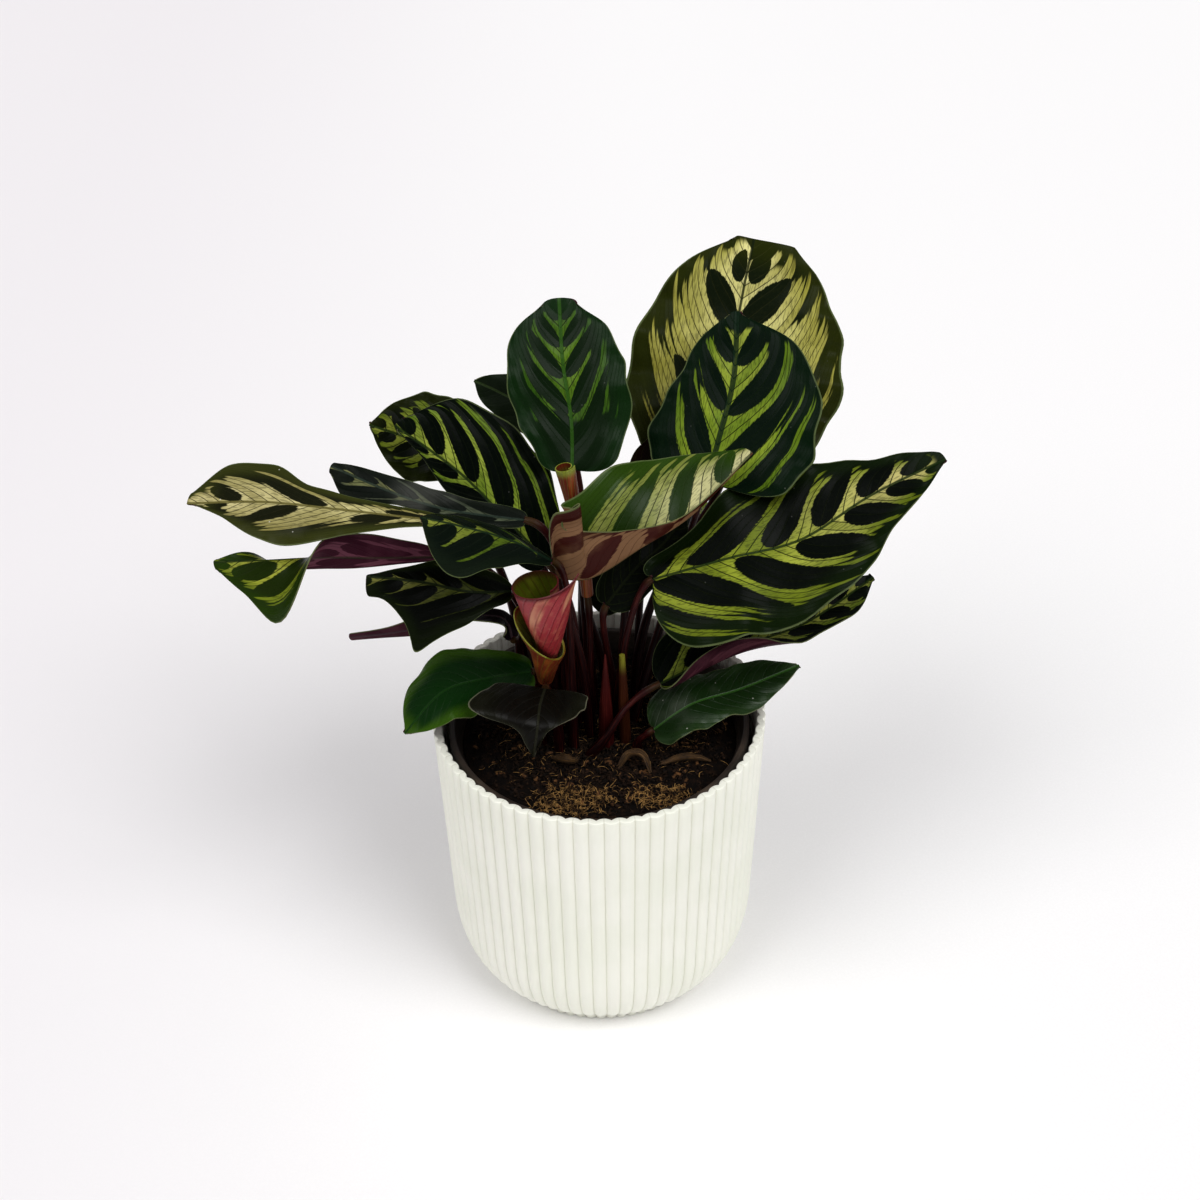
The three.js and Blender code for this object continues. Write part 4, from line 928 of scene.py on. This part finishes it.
# %% The plant's leaves
leaves = [
    leaf(
        "back_right_tall", foot=[16, 18], steer=[16, 40, 185],
        spine=[[54, 46, 228], [57, 68, 249], [62, 90, 277], [68, 104, 302]],
        face=[[0, -0.9, 0.45], [0.05, -0.85, 0.5]], left=[26, 37, 44, 43, 37, 26, 8],
        right=[21, 37, 46, 48, 44, 34, 19], fold=8, curl=-22, wave=[2.5, 4, 0.1], sweep=[-3, 2],
        look=dict(
            period=26, offset=0, begin=1, long=0.56, short=0.32, thick=0.8, margin=0.8, band="#8E8A34",
            band2="#E4E090", oval="#141C0C", edge="#2A300A", line="#1E1C08", rib="#1A240E", fine=0.8,
            slope=1.7, strip=5.6, last=0.93, cream="#F0E8B4", creamy=0.4, dust_and_sheen=0.012,
        ),
    ),
    leaf(
        "back_right_low", foot=[15, 6], reach=4, steer=[32, 30, 185],
        spine=[[46, 28, 234], [51, 40, 246], [58, 58, 265], [60, 76, 285]],
        face=[[-0.1, -0.8, 0.6], [0, -0.8, 0.6]], left=[20, 26, 29, 26, 22, 16, 3],
        right=[27, 33, 39, 39, 36, 25, 2], fold=8, curl=-20, wave=[1.2, 3, 0.3],
        look=dict(
            period=25, offset=0.05, long=1, short=0.85, margin=0.66, band="#4E6A10", band2="#98A83A",
            oval="#041408", edge="#081C0C", rib="#0E2414", slope=2.1, last=0.85, begin=0.3, ragged=0.5,
            strip=5.6, rib_width=1.1, dust_and_sheen=0.015,
        ),
    ),
    leaf(
        "right_large", foot=[8, -1], reach=8, steer=[8, -1, 165],
        spine=[[23, 2, 204], [54, 6, 211], [84, 14, 214], [113, 26, 227], [144, 38, 236]],
        face=[[-0.15, -0.6, 0.8], [-0.1, -0.5, 0.85]], left=[8, 14, 28, 33, 25, 13, 4],
        right=[26, 34, 34, 31, 22, 13, 1], fold=[10, 6], curl=[-10, -15], wave=[3.4, 3.2, 0.25],
        sweep=[-9, 0],
        look=dict(
            period=27, long=0.85, short=0.75, thick=0.78, margin=0.74, band="#566410", band2="#9EA83C",
            oval="#030803", edge="#101E06", slope=1.9, last=0.98, ragged=0.4, cream="#C4BA7C", creamy=0.9,
            strip=5.6, dust_and_sheen=0.01,
        ),
    ),
    leaf(
        "right_under", foot=[-4, -16], steer=[8, -18, 140],
        spine=[[26, -4, 154], [58, 10, 161], [90, 26, 162], [120, 44, 172]],
        face=[[0, -0.45, 0.9], [0, -0.4, 0.9]], left=[12, 19, 21, 18, 14, 9, 2],
        right=[12, 14, 16, 14, 9, 9, 1], fold=[8, [10, 20, 10, 5]], curl=[0, [60, 140, 60, 10, 0]],
        wave=[1, 3, 0.6], sweep=[-3, 0],
        look=dict(
            long=0.8, short=0.7, thick=0.78, margin=0.75, band="#56681C", band2="#8A9440", oval="#050A06",
            edge="#0A120A", slope=1.8,
        ),
    ),
    leaf(
        "front_right", foot=[16, -13], reach=8,
        spine=[[23, -16, 139], [39, -13, 150], [60, -6, 152], [85, 4, 156]],
        face=[[-0.3, -0.2, 0.9], [0, -0.3, 0.95]], left=[10, 17, 14, 14, 12, 10, 0],
        right=[8, 12, 13, 12, 12, 7, 1], fold=[10, 6], curl=-20, wave=[1.5, 3, 0.2],
        look=dict(
            margin=-1, oval="#142A0C", edge="#243A1A", band="#2E5A24", rib="#345A22", dust_and_sheen=0.1, gloss=0.3,
        ),
    ),
    leaf(
        "upright_centre", foot=[-2, 15], steer=[-6, 24, 185], reach=6,
        spine=[[-9, 20, 246], [-9, 32, 262], [-12, 46, 281], [-13, 62, 298]],
        left=[12, 15, 21, 23, 23, 19, 7], right=[16, 19, 24, 25, 24, 19, 7], fold=8, curl=-15,
        wave=[1, 3, 0.4],
        look=dict(
            period=15, offset=0, long=0.8, short=0.7, thick=0.82, margin=0.62, first=0.3, band="#244A0C",
            band2="#5E7C20", oval="#0A1E06", edge="#0E2A0A", rib="#2E5216", slope=2.1, last=0.9,
            gloss=0.1, dust_and_sheen=0.01, ragged=0.5, creamy=0, rib_width=0.7,
        ),
    ),
    leaf(
        "left_large", foot=[-9, 5], spine=[[-20, 8, 209], [-36, 16, 225], [-55, 26, 242], [-79, 32, 260]],
        face=[[0, -0.8, 0.6], [0, -0.75, 0.65]], left=[8, 10, 12, 10, 10, 4, 1],
        right=[9, 16, 25, 28, 28, 24, 5], fold=[-10, 8], curl=[-20, -15], wave=[1, 3, 0.1],
        look=dict(
            long=1, short=0.9, thick=0.84, margin=0.82, band="#56701A", band2="#98A844", oval="#040A05",
            edge="#081008", slope=2.1, dust_and_sheen=0.012,
        ),
    ),
    leaf(
        "back_centre", foot=[-5, 24], steer=[-10, 30, 190],
        spine=[[-14, 62, 234], [-27, 66, 247], [-39, 70, 253], [-50, 72, 258]],
        left=[6, 8, 10, 10, 9, 6, 0], right=[8, 10, 12, 11, 9, 5, 0], fold=8, curl=-15, wave=[1, 2, 0],
        look=dict(margin=-1, oval="#1A2416", edge="#1E2A18", band="#3A4A2A", rib="#3A4A2A"),
    ),
    leaf(
        "back_left", foot=[-10, 15],
        spine=[[-48, 36, 237], [-64, 42, 244], [-78, 46, 247], [-92, 46, 253]],
        left=[8, 10, 15, 17, 15, 8, 0], right=[10, 14, 20, 21, 19, 12, 1], fold=6, curl=-20,
        wave=[1.2, 3, 0.2],
        look=dict(
            period=15, long=0.65, thick=0.72, margin=0.68, band="#5A6A1C", band2="#8C9634",
            oval="#0A1006", edge="#1E2408",
        ),
    ),
    leaf(
        "left_narrow", foot=[-12, -2], steer=[-17, 0, 175],
        spine=[[-28, -2, 237], [-58, 6, 237], [-80, 14, 240], [-105, 22, 248]],
        face=[[0, -0.3, 0.9], [0, -0.6, 0.8]], left=[5, 5, 5, 4, 5, 11, 3], right=[5, 6, 7, 7, 7, 5, 2],
        fold=5, curl=[-20, 0], wave=[0.6, 2, 0],
        look=dict(
            period=22, slope=3.2, long=1, short=1, thick=0.85, margin=0.5, ragged=0.6, band="#3A4034",
            band2="#5E6650", oval="#0E140E", edge="#161C14", rib="#2A362E", dust_and_sheen=0.1, gloss=0.08,
        ),
    ),
    leaf(
        "left_far", foot=[-30, 18], reach=10, steer=[-36, 28, 215],
        spine=[[-60, -12, 244], [-96, -8, 247], [-129, -4, 249], [-160, 2, 245]],
        face=[[0, -0.3, 0.95], [-0.1, -0.4, 0.9]], left=[3, 5, 11, 19, 17, 6, 0],
        right=[4, 5, 6, 10, 18, 17, 5], fold=5, curl=-10, wave=[1, 2, 0.2],
        look=dict(
            period=38, begin=0.1, offset=0.12, slope=2.8, long=0.7, short=0.5, thick=0.42, margin=0.62,
            ragged=0.4, band="#847C44", band2="#CCC490", oval="#1C1E0E", edge="#3A3E18", line="#2A2810",
            rib="#6A6436", dust_and_sheen=0.12, last=0.96, cream="#D8CC9C", creamy=0.4,
        ),
    ),
    leaf(
        "left_twisted", foot=[-22, 12], reach=12, steer=[-24, 14, 200],
        spine=[[-62, -6, 223], [-84, -9, 225], [-106, -12, 228], [-127, -16, 230], [-148, -20, 232]],
        face=[[0, 0.2, 1], [0, 0.2, 1], [0, -0.1, 1], [0, -0.4, 0.9], [0, -0.4, 0.9]],
        left=[3, 6, 9, 11, 12, 16, 25, 13, 3], right=[2, 2.5, 4.5, 6.5, 7, 5, 1],
        fold=[
            [88, 88, 88, 88, 89, 89, 82, 50, 0, -35, -48, -50, -50],
            [-85, -85, -85, -85, -85, -85, -85, -85, -85, -70, -20, 12, 12],
        ],
        curl=0,
        look=dict(
            period=26, long=0.7, thick=0.9, margin=0.7, band="#5E701A", band2="#A8AE3C", oval="#22300A",
            edge="#283C0C", under="#3E1626", under2="#8A5666", slope=2.8, under_band=0.5,
        ),
    ),
    leaf(
        "left_front", foot=[-11, -11], reach=12, steer=[-12, -11, 190],
        spine=[[-17, -20, 230], [-32, -26, 244], [-48, -30, 253], [-65, -34, 261]],
        left=[3, 5, 11, 15, 20, 14, 1], right=[3, 5, 9, 11, 11, 8, 1], fold=[-5, -60], curl=[0, -20],
        look=dict(
            period=18, slope=1.6, long=1, short=1, thick=0.9, margin=0.5, ragged=0.5, band="#3A5410",
            band2="#76842A", oval="#0A140C", edge="#141E12", rib="#14281A", first=0.1,
        ),
    ),
    leaf(
        "left_hanging", foot=[-18, 1], reach=10, steer=[-18, 0, 195],
        spine=[[-34, -14, 211], [-50, -18, 214], [-68, -22, 222], [-87, -26, 228]],
        face=[[0, -0.5, 0.8], [0, -0.7, 0.7]], left=[3, 5, 8, 15, 22, 28, 16, 9, 8],
        right=[3, 8, 12, 12, 8, 4, 1], fold=[-10, 5], curl=[-20, -10],
        look=dict(
            period=18, slope=2.6, long=1, short=1, thick=0.95, margin=0.62, ragged=0.5, band="#262E0C",
            band2="#4E5420", oval="#040603", edge="#101804", rib="#141E0C",
        ),
    ),
    leaf(
        "left_strap", foot=[-33, 11], reach=8, steer=[-34, 20, 185],
        spine=[[-35, -8, 183], [-39, -10, 195], [-58, -11, 196], [-78, -12, 191], [-100, -12, 188]],
        face=[[0, -0.5, 0.9], [0, 0, 1], [0, 0.9, 0.4], [0, 0.9, 0.2]], left=[3, 4, 4.5, 6, 6.5, 3, 2],
        right=[3, 4, 4.5, 6, 6.5, 3, 2], fold=5, curl=0,
        look=dict(margin=-1, oval="#140A10", edge="#1C1018", band="#4A3A40", rib="#4A3A40"),
    ),
    leaf(
        "front_left", foot=[-27, 5], reach=4, steer=[-26, 6, 148],
        spine=[[-28, -2, 160], [-47, -6, 160], [-65, -12, 158], [-81, -20, 143]],
        face=[[0, -0.3, 0.95], [-0.4, -0.3, 0.9]], left=[9, 12, 14, 16, 16, 10, 1],
        right=[10, 12, 17, 21, 19, 15, 1], fold=5, curl=-20, wave=[1, 3, 0.2],
        look=dict(
            margin=-1, oval="#0C3008", edge="#38580E", band="#3A6A22", rib="#1A4010", dust_and_sheen=0.03,
            gloss=0.1,
        ),
    ),
    leaf(
        "front_small", foot=[-17, -13], steer=[-17, -14, 155], reach=3,
        spine=[[-22, -17, 163], [-24, -28, 163], [-25, -38, 159], [-27, -40, 146]],
        face=[[0, -0.3, 0.95], [0, -0.8, 0.6]], left=[18, 19, 18, 15, 5, 2, 0],
        right=[18, 21, 26, 28, 11, 4, 0], fold=10, curl=-10, wave=[0.8, 2, 0.1], sweep=[0, 0],
        look=dict(
            margin=-1, oval="#0E0C08", edge="#18180E", band="#4A4A34", rib="#26261A", rim="#7A7A64",
            dust_and_sheen=0.02, gloss=0.12,
        ),
    ),
    leaf(
        "centre_folded", foot=[-4, -4], steer=[-5, -4, 198], reach=8,
        spine=[[-16, -12, 216], [-2, -9, 213.5], [18, -3, 223], [39, 6, 233], [62, 20, 251]],
        face=[[-0.46, -0.2, 0.86], [-0.46, -0.2, 0.86]], left=[18, 28, 32, 33, 33, 25, 6],
        right=[34, 41, 30, 13, 5, 3, 2], fold=[[60, 55, 20], [80, 80, 50]],
        curl=[[0, 0, -20], [25, 20, 0]], sweep=[[-4, -13], 0], round=0.03,
        look=dict(
            period=32, offset=0.2, slope=2, long=0.9, short=0.8, thick=0.52, margin=0.82, ragged=0.6,
            band="#5E6E14", band2="#B8B678", oval="#1C3204", edge="#2C4606", under="#3C1008",
            under2="#C09A70", under_band=0.34, gloss=0.14, cream="#D8D2A8", creamy=0.6, strip=6,
        ),
    ),
    leaf(
        "inner_right", foot=[8, 6], reach=8,
        spine=[[4, 4, 190], [16, 12, 202], [28, 19, 210], [37, 24, 220]], left=[6, 9, 10, 9, 7, 4, 0],
        right=[6, 10, 11, 11, 9, 6, 1], fold=5, curl=-10,
        look=dict(period=16, margin=-1, oval="#0A0E08", edge="#0E140A", rib="#1A200E"),
    ),
    leaf(
        "inner_low", foot=[4, 20], steer=[2, 24, 165], reach=6,
        spine=[[-4, 26, 178], [5, 33, 178], [15, 40, 182], [25, 44, 186]], left=10, right=12, fold=5,
        curl=0, sweep=[0, 0],
        look=dict(period=16, margin=-1, oval="#0A0E08", edge="#0E140A", rib="#1A200E"),
    ),
    leaf(
        "back_small", foot=[9, 12], reach=10, steer=[12, 8, 190],
        spine=[[19, 40, 223], [25, 44, 234], [34, 48, 241], [43, 52, 246]], left=9, right=9, fold=5,
        curl=-10,
        look=dict(margin=-1, oval="#1A100E", edge="#20120C"),
    ),
    leaf(
        "back_low", foot=[18, 30], spine=[[31, 57, 186], [46, 72, 184], [60, 88, 178], [72, 104, 168]],
        face=[[0.2, 0.3, 0.9], [0.3, 0.5, 0.8]], left=22, right=22, fold=8, curl=-15, wave=[1.5, 3, 0.3],
    ),
    leaf(
        "back_low_left", foot=[-15, 22],
        spine=[[-30, 46, 190], [-46, 66, 192], [-60, 84, 188], [-72, 100, 178]],
        face=[[-0.2, 0.3, 0.9], [-0.3, 0.5, 0.8]], left=21, right=21, fold=8, curl=-15,
        wave=[1.5, 3, 0.6],
    ),
]

# %% Make the blades
for row in leaves:
    upper, under = leaf_materials(row["name"], row["look"])
    blade = add_sheet(f"blade_{row['name']}", blade_surface(row), BLADE_THICKNESS, upper, under)
    settle(blade, "leaf", f"leaf_{row['name']}")
print(len(leaves), "blades")

# %% [markdown]
# ## Stalks and shoots
# The stalks are dark wine-red with a soft sheen and fine streaks. Just under the blade, where the leaf's
# hinge is, they swell and turn olive. A bevelled curve could make each one, but a tube of points can also
# swell, and it carries a map for its streaks. It leaves the peat upright and swings over into its midrib,
# as a cubic curve does. The two shoots are the points of leaves to come, made in the same way.

# %% Stalks
STALK_DEPTH = 3


def stalk_path(row, steps=30):
    """A cubic curve from a little below the peat to the base of a blade."""
    x, y = row["foot"]
    ground_z = soil_height(x, y)
    spine = row["spine"]
    base = np.asarray(spine[0], float)
    along = direction(spine, 0)
    leaving = np.asarray(row.get("steer") or (x, y, ground_z + 0.4 * (base[2] - ground_z)), float)
    arriving = base - along * row.get("reach", 22)
    points = (np.array([x, y, ground_z]), leaving, arriving, base - along * 0.2)
    path = [(x, y, ground_z - STALK_DEPTH)]
    for j in range(steps + 1):
        t = j / steps
        s = 1 - t
        parts = (s ** 3, 3 * s * s * t, 3 * s * t * t, t ** 3)
        path.append(tuple(sum(part * point for part, point in zip(parts, points))))
    return path


def stem_material(name, low, high, tip, streak):
    """A stalk's skin: two colours from foot to top, with fine lengthwise streaks."""
    made, tree, shader, place = new_material(name, Specular_IOR_Level=0.15)
    around, rise = map_values(tree, "share")
    lines = node(tree, "ShaderNodeCombineXYZ", {"X": around * 22, "Y": rise * 6}).outputs[0]
    lines = texture(tree, "ShaderNodeTexNoise", lines, Detail=3.0)
    cloud = texture(tree, "ShaderNodeTexNoise", place, 14.3, Detail=2.0)
    colour = paint(tree, low, [
        (rise.step(0.15, 0.8), high),
        (rise.step(0.86, 0.97) * 0.8, tip),
        (lines.step(0.5, 0.75) * 0.55, streak),
        (cloud.step(0.5, 0.75) * 0.4, high),
    ])
    dress(tree, shader, colour, lines * 0.25 + 0.22, lines, 0.15)
    return made


wine_stem = stem_material("wine_red_stalk", "#180507", "#2E090A", "#3A2C14", "#702C20")
STALK_RADII = (2.3, 2.3, 2.1, 1.8, 1.6, 1.45, 1.4, 1.35, 1.7, 1.5)
for row in leaves:
    stem = add_tube(f"stem_{row['name']}", stalk_path(row), STALK_RADII, 14, wine_stem)
    settle(stem, "stalk", f"stalk_{row['name']}")
print(len(leaves), "stalks")

# %% Shoots
SHOOTS = (
    ("shoot_red", (3, -9), (3, -9, 174), (3, 3.4, 3, 0.3), ("#2A080A", "#40100F", "#5A1C18", "#6A2820")),
    (
        "shoot_tipped", (11, -8), (10, -7, 172), (2.8, 2.8, 2.4, 1.2),
        ("#260C08", "#3E1C0E", "#8A8A2C", "#5A3418"),
    ),
)
for name, foot, top, radii, colours in SHOOTS:
    ground_z = soil_height(*foot)
    axis = [(*foot, ground_z - STALK_DEPTH), (*foot, ground_z), top]
    path = [tuple(through(axis, k / 24)) for k in range(25)]
    skin = stem_material(f"{name}_skin", *colours)
    settle(add_tube(f"{name}_point", path, radii, 16, skin), "shoot", name)
print(len(SHOOTS), "shoots")

# %% [markdown]
# ## Young leaves and their sheath
# A young leaf comes up rolled like a scroll and shows its underside: pink on the one that opens, and
# orange-brown on the tight one. The pink one stands in a red-brown sheath with an olive lip. Each could
# be a flat leaf with a bend modifier. A sheet wound about a leaning axis says directly how often it is
# wound and where it gapes. The skins are smooth and a little waxy, with veins that run aslant.

# %% Young leaves
def roll_surface(roll, rows=40, columns=64):
    """The grid of a sheet that is wound about its axis. It may flare at its mouth and end in a lip."""
    roll = {"shrink": 0, "flare": 0, "lip": 0, "lip_at": 0, **roll}
    grid = np.zeros((rows + 1, columns + 1, 3))
    for j in range(rows + 1):
        v = j / rows
        along = direction(roll["spine"], v)
        east = unit(np.array([1.0, 0, 0]) - along * along[0])
        north = np.cross(along, east)
        for k in range(columns + 1):
            s = k / columns
            angle = math.radians(roll["start"] - roll["wind"] * s)
            opening = roll["flare"] * v ** 3 * (1 - s) ** 4
            r = through(roll["radius"], v) * (1 - roll["shrink"] * s) + opening
            rise = roll["lip"] * v ** 2 * math.cos(angle - math.radians(roll["lip_at"])) + 0.7 * opening
            point = through(roll["spine"], v) + r * math.cos(angle) * east + r * math.sin(angle) * north
            grid[j, k] = point + rise * along
    return grid


def roll_material(name, base, streak, edge, lean):
    """A young leaf's skin: veins that run aslant, a pale streak and its own colour by the mouth."""
    made, tree, shader, place = new_material(name, IOR=1.45)
    around, rise = map_values(tree, "share")
    aslant = around * 18 + rise * lean
    lines = (aslant.math("FRACT") - 0.5).math("ABSOLUTE").step(0.16, 0.02)
    drawn = node(tree, "ShaderNodeCombineXYZ", {"X": aslant * 0.35, "Y": rise * 1.5}).outputs[0]
    broad = texture(tree, "ShaderNodeTexNoise", drawn, Detail=3.0)
    fine = texture(tree, "ShaderNodeTexNoise", place, 2.38, Detail=3.0)
    colour = paint(tree, base, [
        (broad.step(0.5, 0.62) * 0.85, streak),
        (lines * 0.35, edge),
        (fine.step(0.5, 0.8) * 0.3, streak),
        (rise.step(0.93, 0.99), edge),
    ])
    dress(tree, shader, colour, fine * 0.25 + 0.25, lines * 0.6 + fine * 0.3, 0.25)
    return made


rolls = [
    {
        "name": "new_leaf", "foot": (-24, -7), "start": -10, "wind": 400, "shrink": 0.25,
        "flare": 7, "radius": (2.3, 4.5, 7.5, 10),
        "spine": [(-21, -12, 172), (-20, -19, 188), (-21, -23, 204), (-23, -23, 221)],
        "outside": ("#962C34", "#C48C6C", "#5E1A20", 7), "inside": ("#545C0C", "#7E8420", "#5A3A18", 5),
    },
    {
        "name": "new_leaf_tight", "foot": (-4, 4), "start": 0, "wind": 410, "shrink": 0.35,
        "radius": (2.2, 2.6, 2.8, 3.9),
        "spine": [(-4, 10, 191), (-6, 11, 213), (-9, 12, 235), (-12, 13, 252)],
        "outside": ("#6E2A14", "#944E24", "#8A9238", 4), "inside": ("#56561A", "#7E7E30", "#6A2C14", 3),
    },
]
for roll in rolls:
    outside = roll_material(f"{roll['name']}_outside", *roll["outside"])
    inside = roll_material(f"{roll['name']}_inside", *roll["inside"])
    wound = add_sheet(f"scroll_{roll['name']}", roll_surface(roll), BLADE_THICKNESS, inside, outside)
    settle(wound, "young_leaf", roll["name"])
    stem = add_tube(f"stem_{roll['name']}", stalk_path(roll), STALK_RADII, 14, wine_stem)
    settle(stem, "stalk", f"stalk_{roll['name']}")

wrap = {
    "start": 60, "wind": 330, "lip": 14, "lip_at": 165, "radius": (2.8, 4.6, 6.2, 7.8),
    "spine": [(-22, -9, 162), (-21.5, -14, 174), (-21.5, -18, 185), (-23, -22, 196)],
}
sheath_out = roll_material("sheath_outside", "#6E2A16", "#94561E", "#7E7E24", 3)
sheath_in = roll_material("sheath_inside", "#7A7A26", "#A09A3A", "#8A3A22", 3)
sheath = add_sheet("sheath_wrap", roll_surface(wrap), BLADE_THICKNESS, sheath_in, sheath_out)
settle(sheath, "sheath", "sheath")
print(len(rolls), "young leaves and a sheath")

# %% [markdown]
# ## Dry leaves
# Three dead leaves lie curled on the peat. They could be crumpled by a cloth simulation, but they are
# small, so each is a blade by the same rule as the green ones, with strong folds and curls.
# A dead leaf is papery, tan and dull, with long fibres and dark blotches.

# %% Dry leaves on the peat
DRY_THICKNESS = 0.4


def dry_material(name, base, pale):
    """A papery dead leaf."""
    made, tree, shader, place = new_material(name, Roughness=0.75)
    share = node(tree, "ShaderNodeUVMap", uv_map="share").outputs[0]
    stretched = node(tree, "ShaderNodeMapping", {"Vector": share, "Scale": (26.0, 3.0, 1.0)}).outputs[0]
    fibres = texture(tree, "ShaderNodeTexNoise", stretched, Detail=4.0)
    blotch = texture(tree, "ShaderNodeTexNoise", place, 5.56, Detail=3.0)
    colour = paint(tree, base, [
        (fibres.step(0.42, 0.62), pale),
        (blotch.step(0.5, 0.7) * 0.7, "#1E140A"),
    ])
    dress(tree, shader, colour, None, fibres, 0.3)
    return made


dry_skin = dry_material("papery_dry_leaf", "#33210F", "#6E5028")
# Each has the places that its midrib passes over, its half-widths, and its heights above the peat.
DRY_LEAVES = (
    (
        "dry_curl", ((-19, -20), (-15, -24), (-11, -23), (-9, -19)),
        [1, 3.2, 3.6, 2.4, 0.6], (1.2, 3.2, 2.2, 1.2),
    ),
    ("dry_loop", ((9, -24), (13, -22), (18, -24), (21, -28)), [0.8, 2.6, 3, 2, 0.6], (1.2, 5, 6, 1.2)),
    (
        "dry_lance", ((27, -24), (33, -22), (40, -20), (47, -20)),
        [0.5, 2, 3, 2.2, 0.3], (1.2, 1.6, 1.4, 1.2),
    ),
)
for name, points, half_widths, lift in DRY_LEAVES:
    spine = [(x, y, soil_height(x, y) + z) for (x, y), z in zip(points, lift)]
    shape = dict(spine=spine, left=half_widths, right=half_widths, fold=[20, 35], curl=[70, 60])
    row = leaf(name, face=[(0, 0, 1)] * 2, **shape)
    dry = add_sheet(f"{name}_leaf", blade_surface(row, 30, 10), DRY_THICKNESS, dry_skin, dry_skin)
    settle(dry, "dry_leaf", name)
print(len(DRY_LEAVES), "dry leaves")
